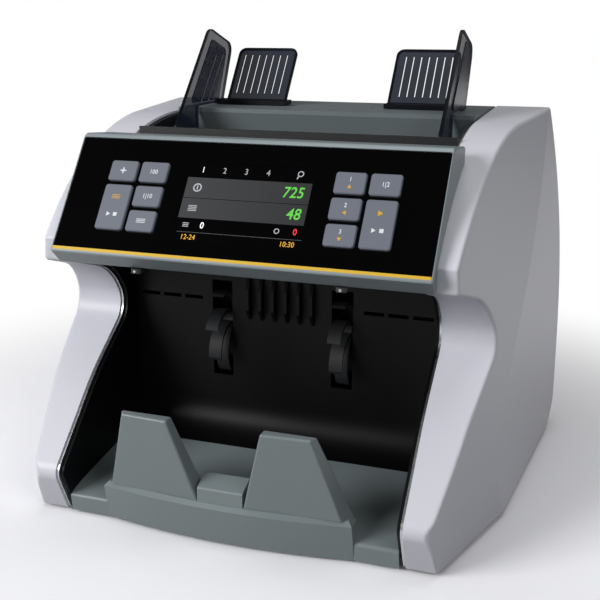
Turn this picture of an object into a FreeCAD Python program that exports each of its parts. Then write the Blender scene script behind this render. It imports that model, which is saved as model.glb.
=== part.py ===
import FreeCAD, Part
import math
import os

V = FreeCAD.Vector
X_DIR = V(1, 0, 0)
Z_DIR = V(0, 0, 1)

# Overall sizes, in mm, with X to the right, Y to the back and Z up
machine_depth = 255.0
cover_top_z = 218.5
frame_half_width = 98.2
foot_gap = 2.0
front_y = -machine_depth / 2
rear_y = machine_depth / 2

# General clearances; a cutter reaches past the faces that it cuts by the cut margin
seat_gap = 0.02
running_gap = 0.05
slide_gap = 0.4
swing_gap = 0.8
belt_gap = 0.35
skin_inset = 0.6
cut_margin = 1.0

# Side covers: overhang beyond the frame, flare and tuck of the plan sections, screw bosses
cover_wall = 3.0
chin_overhang = 19.8
chin_corner_radius = 9.0
chin_reach = 27.1
cover_nose_setback = 5.5
cover_flare = 0.283
cover_top_flare = 0.112
cover_top_tuck = 10.0
cover_top_tuck_power = 2.2
cover_rear_overhang = 50.6
cover_rear_tuck = 17.0
cover_rear_tuck_power = 3.2
cover_rear_radius = 9.0
cover_rear_overrun = 0.5
cover_top_overrun = 2.0
crease_start = 83.3
crease_share = 0.8
crease_low = 0.15
crease_power = 1.45
section_count = 5
cover_edge_radius = 2.0
boss_radius = 5.0
front_boss_depth = 95.0
front_boss_z = 45.0
rear_boss_depth = 215.0
rear_boss_z = 60.0
top_boss_depth = 205.0
top_boss_drop = 25.0
nose_boss_depth = 85.0
nose_boss_drop = 60.0

# Side profile of covers and frame
chin_foot_depth = 16.5
chin_foot_radius = 2.0
chin_depth = 4.6
chin_height = 27.0
chin_radius = 9.0
shoulder_depth = 50.0
shoulder_height = 74.0
shoulder_radius = 150.0
scoop_depth = 92.3
scoop_drop = 114.0
scoop_radius = 14.0
ceiling_depth = 76.0
ceiling_drop = 87.5
ceiling_radius = 44.0
nose_depth = 36.3
nose_drop = 75.0
nose_height = 13.0
nose_low_radius = 2.5
nose_top_radius = 2.2
arch_depth = 90.5
arch_drop = 6.0
arch_radius = 185.0
top_rear_radius = 8.0
bottom_rear_radius = 36.0

# Chassis
frame_thickness = 1.5
frame_setback = 1.0
liner_thickness = 2.0
liner_setback = 2.6
liner_rear_lap = 2.0
liner_bottom_gap = 6.0
liner_top_gap = 1.0
sheet_thickness = 2.0
base_front_depth = 28.0
base_rear_gap = 0.5
flange_front_depth = 108.0
flange_height = 12.0
base_slot_pitch = 10.0
base_slot_width = 3.0
base_slot_depth = 140.0
base_slot_length = 40.0
foot_radius = 9.0
foot_taper = 1.0
foot_height = 3.0
foot_x = 78.0
foot_inset = 48.0
tie_radius = 4.0
tie_shoulder = 1.0
low_tie_depth = 110.0
low_tie_z = 40.0
rear_tie_depth = 225.0
rear_tie_z = 90.0
top_tie_drop = 30.0
bearing_radius = 8.0
bearing_flange = 1.5
bearing_flange_thickness = 2.5
shaft_radius = 4.0
shaft_end_reach = 4.0
cover_inner_x = frame_half_width + frame_thickness
liner_inner_x = frame_half_width - liner_thickness

# Stacker tray, front block and paddles
tray_wall = 3.0
tray_lip_depth = 14.5
tray_lip_height = 12.4
tray_lip_lean = 1.5
tray_lip_radius = 2.0
tray_lip_inner_radius = 1.0
tray_step_depth = 26.5
tray_step_height = 15.5
tray_step_radius = 3.0
tray_floor_depth = 82.5
tray_floor_height = 24.0
block_half_width = 72.0
block_height = 25.5
block_bow = 6.5
block_front = 5.0
block_undercut = 4.5
block_bevel = 2.2
block_back_gap = 6.0
ledge_half_width = 13.0
ledge_height = 33.5
ledge_rise = 5.0
ledge_setback = 0.6
ledge_root = 4.0
ledge_radius = 1.5
paddle_foot_inner = 13.2
paddle_foot_outer = 66.4
paddle_top_inner = 26.2
paddle_top_outer = 52.6
paddle_height = 47.0
paddle_setback = 0.8
paddle_foot_depth = 12.5
paddle_top_depth = 7.0
paddle_bow = 3.2
paddle_foot_flare = 5.0
paddle_edge_radius = 1.2

# Stacker back plate and the hood over the exit slot
back_plate_depth = 102.5
back_plate_lean = 1.0
back_plate_bend = 21.0
back_plate_bend_rise = 4.0
back_plate_top_drop = 88.0
wheel_slot_gap = 2.5
dash_count = 3
dash_length = 12.0
dash_height = 2.2
dash_pitch = 14.5
dash_start = 19.0
dash_rise = 17.0
comb_count = 6
comb_pitch = 8.0
comb_depth = 5.0
comb_thickness = 2.0
comb_root = 0.5
comb_foot_rise = 6.0
comb_low_rise = 14.0
comb_high_rise = 26.0
comb_radius = 2.0
exit_slot_height = 6.5
hood_top_drop = 40.0
hood_reach = 6.0
hood_thickness = 2.0
hood_lip = 1.0
hood_slope_rise = 5.0
hood_lip_radius = 0.8
hood_bend_radius = 2.0
hood_edge_radius = 0.5
hood_heel_radius = 3.0

# Finger wheels
wheel_radius = 30.0
wheel_hub_radius = 8.5
wheel_width = 8.0
wheel_spread = 38.0
wheel_path_gap = 1.19
wheel_bearing = 33.69
finger_count = 9
finger_thickness = 1.7
finger_tip_ratio = 1.25
finger_root = 0.8
finger_sweep = 52.0
finger_bend = 0.42

# Shafts and rollers: places as depth from the front and drop from the cover top
transport_depth = 147.5
transport_drop = 78.5
transport_radius = 22.0
transport_inner_x = 22.0
transport_outer_x = 66.0
feed_depth = 163.5
feed_drop = 42.5
feed_radius = 12.0
feed_x = 14.0
pickup_radius = 13.0
pickup_depth = 135.5
pickup_proud = 1.0
pickup_x = 30.0
roller_width = 12.0
tread_width = 1.2
tread_depth = 0.8

# Pulleys, belts and motors
drive_pulley_radius = 10.0
motor_pulley_radius = 7.0
large_pulley_radius = 14.0
pulley_flange = 1.5
pulley_flange_thickness = 1.0
pulley_frame_gap = 1.5
pulley_row_gap = 0.6
belt_width = 5.0
belt_side_gap = 0.5
belt_thickness = 1.4
main_motor_depth = 199.5
main_motor_drop = 118.5
main_motor_radius = 20.0
main_motor_length = 62.0
stacker_motor_depth = 177.5
stacker_motor_drop = 146.5
stacker_motor_radius = 16.0
stacker_motor_length = 50.0
motor_boss_radius = 10.5
motor_boss_gap = 0.5
motor_tail_ratio = 0.45
motor_tail_length = 4.0
motor_shaft_radius = 2.5
motor_shaft_end = 3.0
motor_shaft_end_gap = 0.5

# Note path
path_gap = 2.5
path_low_angle = -112.0
path_high_angle = 42.0
low_sensor_angle = -165.0
rear_sensor_angle = -90.0
sensor_rail_inset = 6.2
sensor_rail_width = 8.0
sensor_rail_height = 5.0
sensor_rail_gap = 0.05
sensor_body_inset = 2.2
sensor_body_width = 18.0
sensor_body_height = 12.0
sensor_ear_width = 10.0
sensor_ear_rise = 9.0
sensor_ear_thickness = 3.0

# Hopper
hopper_slope = 18.0
hopper_front_depth = 118.0
hopper_front_drop = 10.5
hopper_rear_depth = 172.5
hopper_throat = 6.0
hopper_rim_drop = 8.0
hopper_rim_setback = 0.5
tub_wall = 2.5
roller_slot_gap = 1.5
roller_slot_front = 14.5
roller_slot_rear = 16.0
roller_slot_low_drop = 45.0
roller_slot_top_drop = 9.5
deck_thickness = 2.6
deck_wall_rise = 4.0

# Note guides with rack and pinion
guide_x = 83.0
guide_thickness = 3.0
guide_front_depth = 136.0
guide_front_drop = 15.0
guide_front_radius = 1.5
guide_top_depth = 192.5
guide_top_rise = 47.2
guide_top_radius = 8.0
guide_rear_depth = 228.5
guide_rear_rise = 35.9
guide_rear_radius = 5.0
guide_heel_depth = 209.5
guide_hopper_gap = 1.5
guide_step_radius = 2.0
guide_rim_width = 5.0
guide_rim_extra = 1.2
guide_slit_count = 3
guide_slit_width = 1.8
guide_slit_start = 28.8
guide_slit_pitch = 5.4
guide_slit_low = 38.0
guide_slit_length = 24.0
rib_inner_x = 34.0
rib_outer_x = 81.5
rib_length = 40.0
rib_lean = 37.0
rib_corner_radius = 6.0
rib_count = 8
rib_slit_width = 1.7
rib_pitch = 5.3
rib_slit_low = 6.0
rib_slit_top = 5.0
guide_seat = 1.0
guide_foot_height = 3.0
guide_foot_width = 14.0
guide_in_travel = 25.0
guide_out_travel = 8.0
tongue_x = 56.0
tongue_width = 12.0
tongue_thickness = 4.0
gear_module = 1.2
gear_addendum = 0.9
gear_dedendum = 1.25
gear_backlash = 0.3
pressure_angle = 20.0
pinion_teeth = 16
pinion_stud_radius = 2.5
rack_height = 6.0
rack_top_gap = 0.6
rack_back = 4.0
rack_depth = 207.5
rack_drop = 13.5
rack_first_tooth = -8
rack_last_tooth = 7
rack_end = 1.2
rack_arm_lap = 1.0
rack_tray_half_length = 90.0
rack_tray_half_width = 22.0
rack_tray_wall = 2.0

# Control head
panel_tilt = 36.0
panel_depth = 28.05
panel_drop = 64.23
panel_length = 67.4
lens_half_width = 105.2
lens_thickness = 2.0
lens_gap = 0.15
lens_corner = 1.0
bezel_proud = 0.6
bezel_margin = 3.3
bezel_top_margin = 2.7
bezel_low_radius = 1.5
bezel_top_radius = 5.0
head_overhang = 6.6
head_edge_radius = 1.2
head_wall = 2.5
head_core_gap = 2.8
head_front_wall = 4.2
head_chin_gap = 0.2
head_chin_depth = 34.5
head_chin_radius = 3.0
head_back_depth = 45.0
head_end_depth = 60.0
head_end_drop = 40.0
head_top_end = 98.0
head_top_drop = 9.8
head_top_radius = 2.0
head_back_drop = 26.5
head_back_radius = 1.0
cavity_low_margin = 1.5
cavity_top_margin = 2.0
cavity_back_depth = 52.0
cavity_chin_rise = 1.0
back_cover_gap = 0.1
back_cover_thickness = 2.2
back_cover_low_end = 6.5
back_cover_top_end = 5.0
back_rib_count = 4
back_rib_pitch = 40.0
back_rib_end = 6.0
back_rib_slope = 4.0
back_rib_height = 5.0
back_rib_thickness = 1.6
hinge_depth = 105.5
hinge_drop = 22.5
hinge_pin_radius = 3.0
hinge_pin_end = 1.0
hinge_barrel_radius = 6.0
hinge_barrel_length = 12.0
hinge_arm_lap = 1.5
hinge_roof_radius = 11.0
hinge_roof_lap = 0.5
hinge_roof_rise = 5.5
stripe_width = 1.8
stripe_thickness = 1.2
stripe_gap = 0.05
stripe_end_gap = 0.1
stripe_corner = 0.3
latch_x = 58.0
latch_width = 6.0
latch_depth = 32.5
latch_length = 9.5
latch_thickness = 2.6
latch_front_radius = 2.0
latch_rear_radius = 1.0

# Display and keys on the panel: places across and up the slope
display_half_width = 37.0
display_low = 8.2
display_high = 55.2
display_sink = 0.15
display_gap = 0.1
display_wall_gap = 0.3
display_corner = 0.8
display_frame_inset = 0.3
display_frame_margin = 3.0
board_drop = 3.4
key_width = 16.5
key_height = 12.3
key_row_gap = 2.4
key_column_gap = 2.2
key_display_gap = 10.55
key_low_row = 17.7
key_proud = 1.5
key_gap = 0.35
key_lip = 0.7
key_lip_thickness = 1.1
key_lip_gap = 0.1
key_corner = 1.6
key_top_chamfer = 0.5
key_stem_radius = 2.2
key_stem_length = 0.8
key_row_pitch = key_height + key_row_gap
key_inner_x = display_half_width + key_display_gap + key_width / 2
key_outer_x = key_inner_x + key_width + key_column_gap
board_thickness = 1.6
board_half_width = 91.5
board_margin = 5.0
board_corner = 1.5
post_radius = 2.6
post_inner_x = 42.0
post_key_gap = 2.45
post_outer_x = key_outer_x + key_width / 2 + key_lip + post_key_gap + post_radius
post_margin = 8.5
post_root = 0.1

# Rear wall
rear_wall = 2.6
vent_count = 9
vent_pitch = 7.0
vent_length = 46.0
vent_height = 2.6
vent_low_drop = 120.0
vent_x = 50.0
inlet_x = 60.0
inlet_z = 62.0
inlet_width = 28.0
inlet_height = 20.0
inlet_depth = 24.0
inlet_wall = 2.5
inlet_corner = 3.5
inlet_corner_radius = 1.0
inlet_well_depth = 18.0
inlet_pin_spread = 7.0
inlet_pin_low = 1.5
inlet_pin_high = 2.5
inlet_pin_width = 2.0
inlet_pin_height = 4.0
inlet_pin_depth = 4.0
inlet_pin_root = 1.0
fitting_sink = 0.8
switch_width = 22.0
switch_height = 15.0
switch_wall = 2.0
switch_well_depth = 17.0
rocker_gap = 0.4
rocker_side_gap = 0.9
rocker_pivot_radius = 1.6
rocker_pivot_depth = 8.0
rocker_pivot_root = 1.0
rocker_back = 10.0
rocker_crest = 2.6
rocker_dip = 4.4
rocker_back_radius = 1.0
rocker_crest_radius = 0.6
rocker_dip_radius = 4.0
port_z = 62.0
port_x = 40.0
port_count = 2
port_spread = 26.0
port_half_width = 8.0
port_half_height = 6.0
port_side_wall = 2.0
port_top_wall = 1.8
port_depth = 16.0
port_well_depth = 12.0

# Circuit boards inside
main_board_depth = 20.0
main_board_half_width = 88.0
main_board_low_drop = 128.0
main_board_top_drop = 58.0
main_post_inset = 4.0
board_post_radius = 3.0
chip_x = -20.0
chip_width = 24.0
chip_drop = 100.0
chip_height = 2.0
plug_x = 20.0
plug_width = 40.0
plug_drop = 124.0
plug_thickness = 8.0
plug_height = 9.0
second_plug_x = -70.0
second_plug_width = 36.0
supply_depth = 140.0
supply_x = -80.0
supply_width = 100.0
supply_length = 70.0
supply_post_height = 6.0
supply_post_inset = 6.0
transformer_x = -50.0
transformer_width = 36.0
transformer_start = 22.0
transformer_length = 32.0
transformer_height = 24.0
capacitor_radius = 8.0
capacitor_height = 22.0
capacitor_start = 20.0
first_capacitor_x = -66.0
second_capacitor_x = 4.0
sink_fin_count = 5
sink_fin_pitch = 4.0
sink_fin_thickness = 1.6
sink_fin_height = 20.0
sink_x = -6.0
sink_start = 36.0
sink_length = 30.0


def box(x0, x1, y0, y1, z0, z1):
    """Block between two opposite corners."""
    return Part.makeBox(x1 - x0, y1 - y0, z1 - z0, V(x0, y0, z0))


def rod_x(radius, x0, x1, y, z):
    """Round bar along X."""
    return Part.makeCylinder(radius, x1 - x0, V(x0, y, z), X_DIR)


def fuse_all(shapes):
    """One solid from several that touch or overlap."""
    return shapes[0].multiFuse(shapes[1:]).removeSplitter()


def corner_arc(before, corner, after, radius):
    """Tangent points and middle point of a rounded corner in two dimensions."""
    into = V(corner[0] - before[0], corner[1] - before[1], 0).normalize()
    out = V(after[0] - corner[0], after[1] - corner[1], 0).normalize()
    turn = into.getAngle(out)
    reach = radius * math.tan(turn / 2)
    apex = V(corner[0], corner[1], 0)
    start = apex - into * reach
    end = apex + out * reach
    inward = (out - into).normalize()
    middle = apex + inward * (radius / math.cos(turn / 2) - radius)
    return start, middle, end


def outline(corners, to_space):
    """Closed face from (a, b, radius) corners, set in space by a function of (a, b)."""
    stretches = []
    count = len(corners)
    for index, (a, b, radius) in enumerate(corners):
        if radius > 0:
            stretches.append(corner_arc(corners[index - 1], (a, b), corners[(index + 1) % count], radius))
        else:
            stretches.append((V(a, b, 0),))
    edges = []
    for index, stretch in enumerate(stretches):
        following = stretches[(index + 1) % count]
        points = [to_space(p.x, p.y) for p in stretch]
        if len(points) == 3:
            edges.append(Part.Arc(*points).toShape())
        begin = points[-1]
        finish = to_space(following[0].x, following[0].y)
        if begin.distanceToPoint(finish) > 1e-4:
            edges.append(Part.makeLine(begin, finish))
    return Part.Face(Part.Wire(edges))


def side_prism(corners, x0, x1):
    """Solid with a side outline of (y, z, radius) corners between two X planes."""
    face = outline(corners, lambda y, z: V(x0, y, z))
    return face.extrude(V(x1 - x0, 0, 0))


def plan_prism(corners, z0, z1):
    """Solid with a plan outline of (x, y, radius) corners between two heights."""
    face = outline(corners, lambda x, y: V(x, y, z0))
    return face.extrude(V(0, 0, z1 - z0))


def mirrored(shape):
    """The same piece on the other side of the machine."""
    return shape.mirror(V(0, 0, 0), X_DIR)


def depth(value):
    """Y of a place measured back from the front."""
    return front_y + value


def drop(value):
    """Z of a place measured down from the top of the covers."""
    return cover_top_z - value


# Side covers and frame plates


def profile_face(offset):
    """Side outline of the machine, moved outwards by an offset."""
    nose_z = drop(nose_drop)
    corners = [
        (depth(chin_foot_depth), foot_gap, chin_foot_radius),
        (depth(chin_depth), foot_gap + chin_height, chin_radius),
        (depth(shoulder_depth), shoulder_height, shoulder_radius),
        (depth(scoop_depth), drop(scoop_drop), scoop_radius),
        (depth(ceiling_depth), drop(ceiling_drop), ceiling_radius),
        (depth(nose_depth), nose_z, nose_low_radius),
        (depth(nose_depth), nose_z + nose_height, nose_top_radius),
        (depth(arch_depth), drop(arch_drop), arch_radius),
        (rear_y, cover_top_z, top_rear_radius),
        (rear_y, foot_gap, bottom_rear_radius),
    ]
    face = outline(corners, lambda y, z: V(0, y, z))
    if offset == 0:
        return face
    return face.makeOffset2D(offset)


def profile_prism(offset, x0, x1):
    """Solid of the machine's side outline between two X planes."""
    face = profile_face(offset)
    face.translate(V(x0, 0, 0))
    return face.extrude(V(x1 - x0, 0, 0))


def cover_section(step, inset):
    """Plan section of the right cover at one of the evenly spaced heights."""
    rise = step / (section_count - 1)
    z = (cover_top_z + cover_top_overrun) * rise
    widening = cover_inner_x + chin_overhang - cover_top_tuck * rise ** cover_top_tuck_power - inset
    sweep = crease_share * machine_depth * abs(rise - crease_low) ** crease_power
    crease_y = depth(crease_start + sweep)
    nose_y = front_y + cover_nose_setback + inset
    flare = cover_flare + (cover_top_flare - cover_flare) * rise
    flare_x = widening + flare * (nose_y - depth(chin_reach))
    crease_x = widening + flare * (crease_y - depth(chin_reach))
    rear_tuck = cover_rear_tuck * rise ** cover_rear_tuck_power
    rear_x = cover_inner_x + cover_rear_overhang - rear_tuck - inset
    inner_x = cover_inner_x - inset
    back_y = rear_y + cover_rear_overrun - inset
    corners = [
        (inner_x, nose_y, 0),
        (flare_x, nose_y, chin_corner_radius - inset),
        (crease_x, crease_y, 0),
        (rear_x, back_y, cover_rear_radius - inset),
        (inner_x, back_y, 0),
    ]
    return outline(corners, lambda x, y: V(x, y, z)).OuterWire


def cover_body(inset):
    """Outer form of the right cover, or the hollow inside its wall."""
    sections = [cover_section(step, inset) for step in range(section_count)]
    loft = Part.makeLoft(sections, True, False)
    return loft.common(profile_prism(-inset, cover_inner_x - inset, cover_inner_x + 2 * cover_rear_overhang))


def softened_cover():
    """Outer form of the right cover with a small radius where its flank meets the side outline."""
    outer = cover_body(0)
    rim = []
    for edge in outer.Edges:
        kinds = [face.Surface.TypeId for face in outer.ancestorsOfType(edge, Part.Face)]
        flanks = kinds.count("Part::GeomBSplineSurface")
        clear = edge.BoundBox.XMax > cover_inner_x + cut_margin and edge.BoundBox.ZMax > chin_radius
        if flanks == 1 and clear:
            rim.append(edge)
    return outer.makeFillet(cover_edge_radius, rim)


def boss_places():
    """Y and Z of the side covers' screw bosses."""
    return [
        (depth(front_boss_depth), front_boss_z),
        (depth(rear_boss_depth), rear_boss_z),
        (depth(top_boss_depth), drop(top_boss_drop)),
        (depth(nose_boss_depth), drop(nose_boss_drop)),
    ]


def side_cover():
    """Right side cover: a flared shell, open towards the frame, with screw bosses."""
    outer = softened_cover()
    shell = outer.cut(cover_body(cover_wall))
    bosses = []
    for y, z in boss_places():
        post = rod_x(boss_radius, cover_inner_x, cover_inner_x + 2 * cover_rear_overhang, y, z)
        bosses.append(post.common(outer))
    return fuse_all([shell] + bosses)


def shaft_places():
    """Y and Z of the four shafts that run in the frame plates."""
    slope = math.radians(hopper_slope)
    below = pickup_radius - pickup_proud
    floor_z = hopper_floor_z(pickup_depth)
    pickup = (depth(pickup_depth) - below * math.sin(slope), floor_z - below * math.cos(slope))
    transport = (depth(transport_depth), drop(transport_drop))
    reach = transport_radius + path_gap + sheet_thickness + wheel_path_gap + wheel_radius
    turn = math.radians(wheel_bearing)
    stacker = (transport[0] - reach * math.sin(turn), transport[1] - reach * math.cos(turn))
    return {
        "stacker": stacker,
        "transport": transport,
        "feed": (depth(feed_depth), drop(feed_drop)),
        "pickup": pickup,
    }


def frame_plate(motor_depth, motor_drop):
    """Right frame plate with holes for bearings, motor, hinge pin and ties."""
    plate = profile_prism(-frame_setback, frame_half_width, cover_inner_x)
    inner = frame_half_width - cut_margin
    outer = cover_inner_x + cut_margin
    holes = [rod_x(bearing_radius + seat_gap, inner, outer, y, z) for y, z in shaft_places().values()]
    motor_hole = motor_boss_radius + motor_boss_gap
    holes.append(rod_x(motor_hole, inner, outer, depth(motor_depth), drop(motor_drop)))
    holes.append(rod_x(hinge_pin_radius + seat_gap, inner, outer, *hinge_axis()))
    for y, z in tie_places():
        holes.append(rod_x(tie_radius - tie_shoulder, inner, outer, y, z))
    return plate.cut(Part.Compound(holes))


def tie_places():
    """Y and Z of the round bars that hold the frame plates apart."""
    rear = depth(rear_tie_depth)
    return [(depth(low_tie_depth), low_tie_z), (rear, rear_tie_z), (rear, drop(top_tie_drop))]


def frame_ties():
    """Three turned bars with necks in the frame plates."""
    bars = []
    for y, z in tie_places():
        bar = rod_x(tie_radius, -frame_half_width, frame_half_width, y, z)
        neck = rod_x(tie_radius - tie_shoulder - seat_gap, -cover_inner_x, cover_inner_x, y, z)
        bars.append(bar.fuse(neck).removeSplitter())
    return Part.Compound(bars)


def stacker_liner():
    """Right black liner of the stacker pocket."""
    sheet = profile_prism(-liner_setback, liner_inner_x, frame_half_width)
    region = box(0, cover_inner_x, front_y, depth(back_plate_depth + liner_rear_lap),
                 foot_gap + liner_bottom_gap, drop(nose_drop + liner_top_gap))
    return sheet.common(region).cut(bearing_room())


def bearing_room():
    """Room for the right flange of the stacker shaft's bearings."""
    inner = frame_half_width - bearing_flange_thickness - slide_gap
    return rod_x(bearing_radius + bearing_flange + slide_gap, inner, frame_half_width + cut_margin,
                 *shaft_places()["stacker"])


def base_plate():
    """Bottom sheet with turned-up side flanges and vent slots."""
    back = rear_y - bottom_rear_radius - base_rear_gap
    plate = box(-frame_half_width, frame_half_width, depth(base_front_depth), back,
                foot_height, foot_height + sheet_thickness)
    flange = box(frame_half_width - sheet_thickness, frame_half_width, depth(flange_front_depth), back,
                 foot_height, foot_height + flange_height)
    body = fuse_all([plate, flange, mirrored(flange)])
    slots = []
    slot_y = depth(base_slot_depth)
    half = base_slot_width / 2
    for index in range(vent_count):
        x = (index - (vent_count - 1) / 2) * base_slot_pitch
        slots.append(box(x - half, x + half, slot_y, slot_y + base_slot_length,
                         foot_height - cut_margin, foot_height + sheet_thickness + cut_margin))
    return body.cut(Part.Compound(slots))


def rubber_feet():
    """Four tapered feet under the base plate."""
    feet = []
    for x in (-foot_x, foot_x):
        for y in (front_y + foot_inset, rear_y - foot_inset):
            feet.append(Part.makeCone(foot_radius - foot_taper, foot_radius, foot_height, V(x, y, 0), Z_DIR))
    return Part.Compound(feet)


# Stacker pocket


def stacker_tray():
    """Tray floor with a low front lip, a step and a floor that rises to the back."""
    top = [
        (depth(tray_lip_depth + tray_lip_lean), foot_gap, 0),
        (depth(tray_lip_depth), tray_lip_height, tray_lip_radius),
        (depth(tray_step_depth), tray_step_height, tray_step_radius),
        (depth(tray_floor_depth), tray_floor_height, 0),
        (depth(tray_floor_depth), tray_floor_height - tray_wall, 0),
        (depth(tray_step_depth), tray_step_height - tray_wall, 0),
        (depth(tray_lip_depth + tray_wall), tray_lip_height - tray_wall, tray_lip_inner_radius),
        (depth(tray_lip_depth + tray_wall + tray_lip_lean), foot_gap, 0),
    ]
    return side_prism(top, -liner_inner_x, liner_inner_x)


def block_outline(inset, front):
    """Plan of the bowed front block."""
    half = block_half_width - inset
    left = V(-half, depth(front + block_bow + inset), 0)
    right = V(half, depth(front + block_bow + inset), 0)
    nose = V(0, depth(front + inset), 0)
    back = depth(tray_step_depth - block_back_gap)
    edges = [
        Part.Arc(left, nose, right).toShape(),
        Part.makeLine(right, V(half, back, 0)),
        Part.makeLine(V(half, back, 0), V(-half, back, 0)),
        Part.makeLine(V(-half, back, 0), left),
    ]
    return Part.Wire(edges)


def front_block():
    """Bowed front block with an undercut front, a bevelled top edge and a ledge in the middle."""
    low = block_outline(0, block_front + block_undercut)
    low.translate(V(0, 0, foot_gap))
    high = block_outline(0, block_front)
    high.translate(V(0, 0, block_height - block_bevel))
    crown = block_outline(block_bevel, block_front)
    crown.translate(V(0, 0, block_height))
    body = Part.makeLoft([low, high], True, True)
    cap = Part.makeLoft([high, crown], True, True)
    ledge_front = depth(block_front + block_bevel + ledge_setback)
    ledge_back = depth(tray_step_depth - block_back_gap)
    ledge = side_prism([
        (ledge_front, block_height - ledge_root, 0),
        (ledge_front, ledge_height, ledge_radius),
        (ledge_back, ledge_height + ledge_rise, ledge_radius),
        (ledge_back, block_height - ledge_root, 0),
    ], -ledge_half_width, ledge_half_width)
    return fuse_all([body, cap, ledge]).cut(stacker_tray_envelope())


def stacker_tray_envelope():
    """Everything at and below the top face of the tray, which the block stands on."""
    below = [
        (depth(tray_lip_depth + tray_lip_lean), 0, 0),
        (depth(tray_lip_depth), tray_lip_height, tray_lip_radius),
        (depth(tray_step_depth), tray_step_height, tray_step_radius),
        (depth(tray_floor_depth), tray_floor_height, 0),
        (depth(tray_floor_depth), 0, 0),
    ]
    return side_prism(below, -liner_inner_x, liner_inner_x)


def paddle_section(z, inner, outer, front, side_step, flare, thickness):
    """Corners of a level section of the right paddle, whose outer side is bevelled."""
    return [
        V(inner, front, z),
        V(outer, front + side_step, z),
        V(outer + flare, front + thickness, z),
        V(inner, front + thickness, z),
    ]


def paddle():
    """Right paddle: a tapered wedge with flat sides that leans forwards on the front block."""
    top_step = paddle_bow * (paddle_top_outer - paddle_top_inner) / (paddle_foot_outer - paddle_foot_inner)
    top_flare = paddle_foot_flare * (paddle_top_depth - top_step) / (paddle_foot_depth - paddle_bow)
    foot = paddle_section(block_height, paddle_foot_inner, paddle_foot_outer,
                          depth(block_front + block_bevel + paddle_setback),
                          paddle_bow, paddle_foot_flare, paddle_foot_depth)
    top = paddle_section(block_height + paddle_height, paddle_top_inner, paddle_top_outer, front_y,
                         top_step, top_flare, paddle_top_depth)
    rings = [foot[::-1], top]
    for index in range(len(foot)):
        after = (index + 1) % len(foot)
        rings.append([foot[index], foot[after], top[after], top[index]])
    faces = [Part.Face(Part.makePolygon(ring + ring[:1])) for ring in rings]
    wedge = Part.Solid(Part.Shell(faces))
    upper = [edge for edge in wedge.Edges if edge.BoundBox.ZMax > block_height + cut_margin]
    return wedge.makeFillet(paddle_edge_radius, upper)


def back_plate():
    """Curved back of the stacker pocket with wheel slots, dashes and a comb of fins."""
    face_y = depth(back_plate_depth)
    top_z = drop(back_plate_top_drop)
    front = [
        (depth(tray_floor_depth), tray_floor_height, 0),
        (face_y - back_plate_lean, tray_floor_height + back_plate_bend_rise, back_plate_bend),
        (face_y, top_z, 0),
        (face_y + sheet_thickness, top_z, 0),
        (face_y + sheet_thickness - back_plate_lean, tray_floor_height - tray_wall + back_plate_bend_rise,
         back_plate_bend),
        (depth(tray_floor_depth), tray_floor_height - tray_wall, 0),
    ]
    plate = side_prism(front, -liner_inner_x, liner_inner_x)
    shaft_y, shaft_z = shaft_places()["stacker"]
    half = wheel_width / 2 + wheel_slot_gap
    cuts = []
    for x in (-wheel_spread, wheel_spread):
        cuts.append(box(x - half, x + half, shaft_y - wheel_radius, shaft_y, shaft_z - wheel_radius,
                        shaft_z + wheel_radius))
    for side in (-1, 1):
        for index in range(dash_count):
            x = side * (wheel_spread + dash_start + index * dash_pitch)
            dash_z = shaft_z + dash_rise
            cuts.append(box(x - dash_length / 2, x + dash_length / 2, face_y - sheet_thickness - cut_margin,
                            face_y + sheet_thickness + cut_margin, dash_z, dash_z + dash_height))
    fins = []
    for index in range(comb_count):
        x = (index - (comb_count - 1) / 2) * comb_pitch
        fins.append(side_prism([
            (face_y + comb_root, shaft_z + comb_foot_rise, 0),
            (face_y - comb_depth, shaft_z + comb_low_rise, comb_radius),
            (face_y - comb_depth, shaft_z + comb_high_rise, comb_radius),
            (face_y + comb_root, top_z, 0),
        ], x - comb_thickness / 2, x + comb_thickness / 2))
    room = bearing_room()
    cuts += [room, mirrored(room)]
    return fuse_all([plate.cut(Part.Compound(cuts))] + fins)


def exit_hood():
    """Black plate above the exit slot with a rounded lower lip."""
    face_y = depth(back_plate_depth)
    low = drop(back_plate_top_drop) + exit_slot_height
    high = drop(hood_top_drop)
    return side_prism([
        (face_y - hood_reach, low - hood_lip, hood_lip_radius),
        (face_y - hood_reach, low + hood_lip, hood_lip_radius),
        (face_y - hood_thickness, low + hood_slope_rise, hood_bend_radius),
        (face_y - hood_thickness, high, hood_edge_radius),
        (face_y, high, hood_edge_radius),
        (face_y, low - hood_lip, hood_heel_radius),
    ], -liner_inner_x, liner_inner_x)


# Shafts, rollers and finger wheels


def pulley(radius, x0, y, z):
    """Flat-belt pulley with two flanges, from x0 outwards."""
    far_x = x0 + pulley_length() - pulley_flange_thickness
    core = rod_x(radius, x0, x0 + pulley_length(), y, z)
    near = rod_x(radius + pulley_flange, x0, x0 + pulley_flange_thickness, y, z)
    far = rod_x(radius + pulley_flange, far_x, far_x + pulley_flange_thickness, y, z)
    return fuse_all([core, near, far])


def pulley_length():
    """Length of a pulley with its flanges."""
    return belt_width + 2 * belt_side_gap + 2 * pulley_flange_thickness


def shaft_with_pulleys(place, pulleys):
    """Shaft through both frame plates with its pulleys, given as (radius, row, side)."""
    y, z = place
    reach = cover_inner_x + shaft_end_reach
    bars = [rod_x(shaft_radius, -reach, reach, y, z)]
    for radius, row, side in pulleys:
        x0 = pulley_row(row)
        wheel = pulley(radius, x0, y, z)
        tail = rod_x(shaft_radius, cover_inner_x, x0 + pulley_flange_thickness, y, z)
        shape = fuse_all([wheel, tail])
        bars.append(shape if side > 0 else mirrored(shape))
    return fuse_all(bars)


def pulley_row(row):
    """X of the inner flange of a pulley row outside the frame plate."""
    return cover_inner_x + pulley_frame_gap + row * (pulley_length() + pulley_row_gap)


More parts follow.
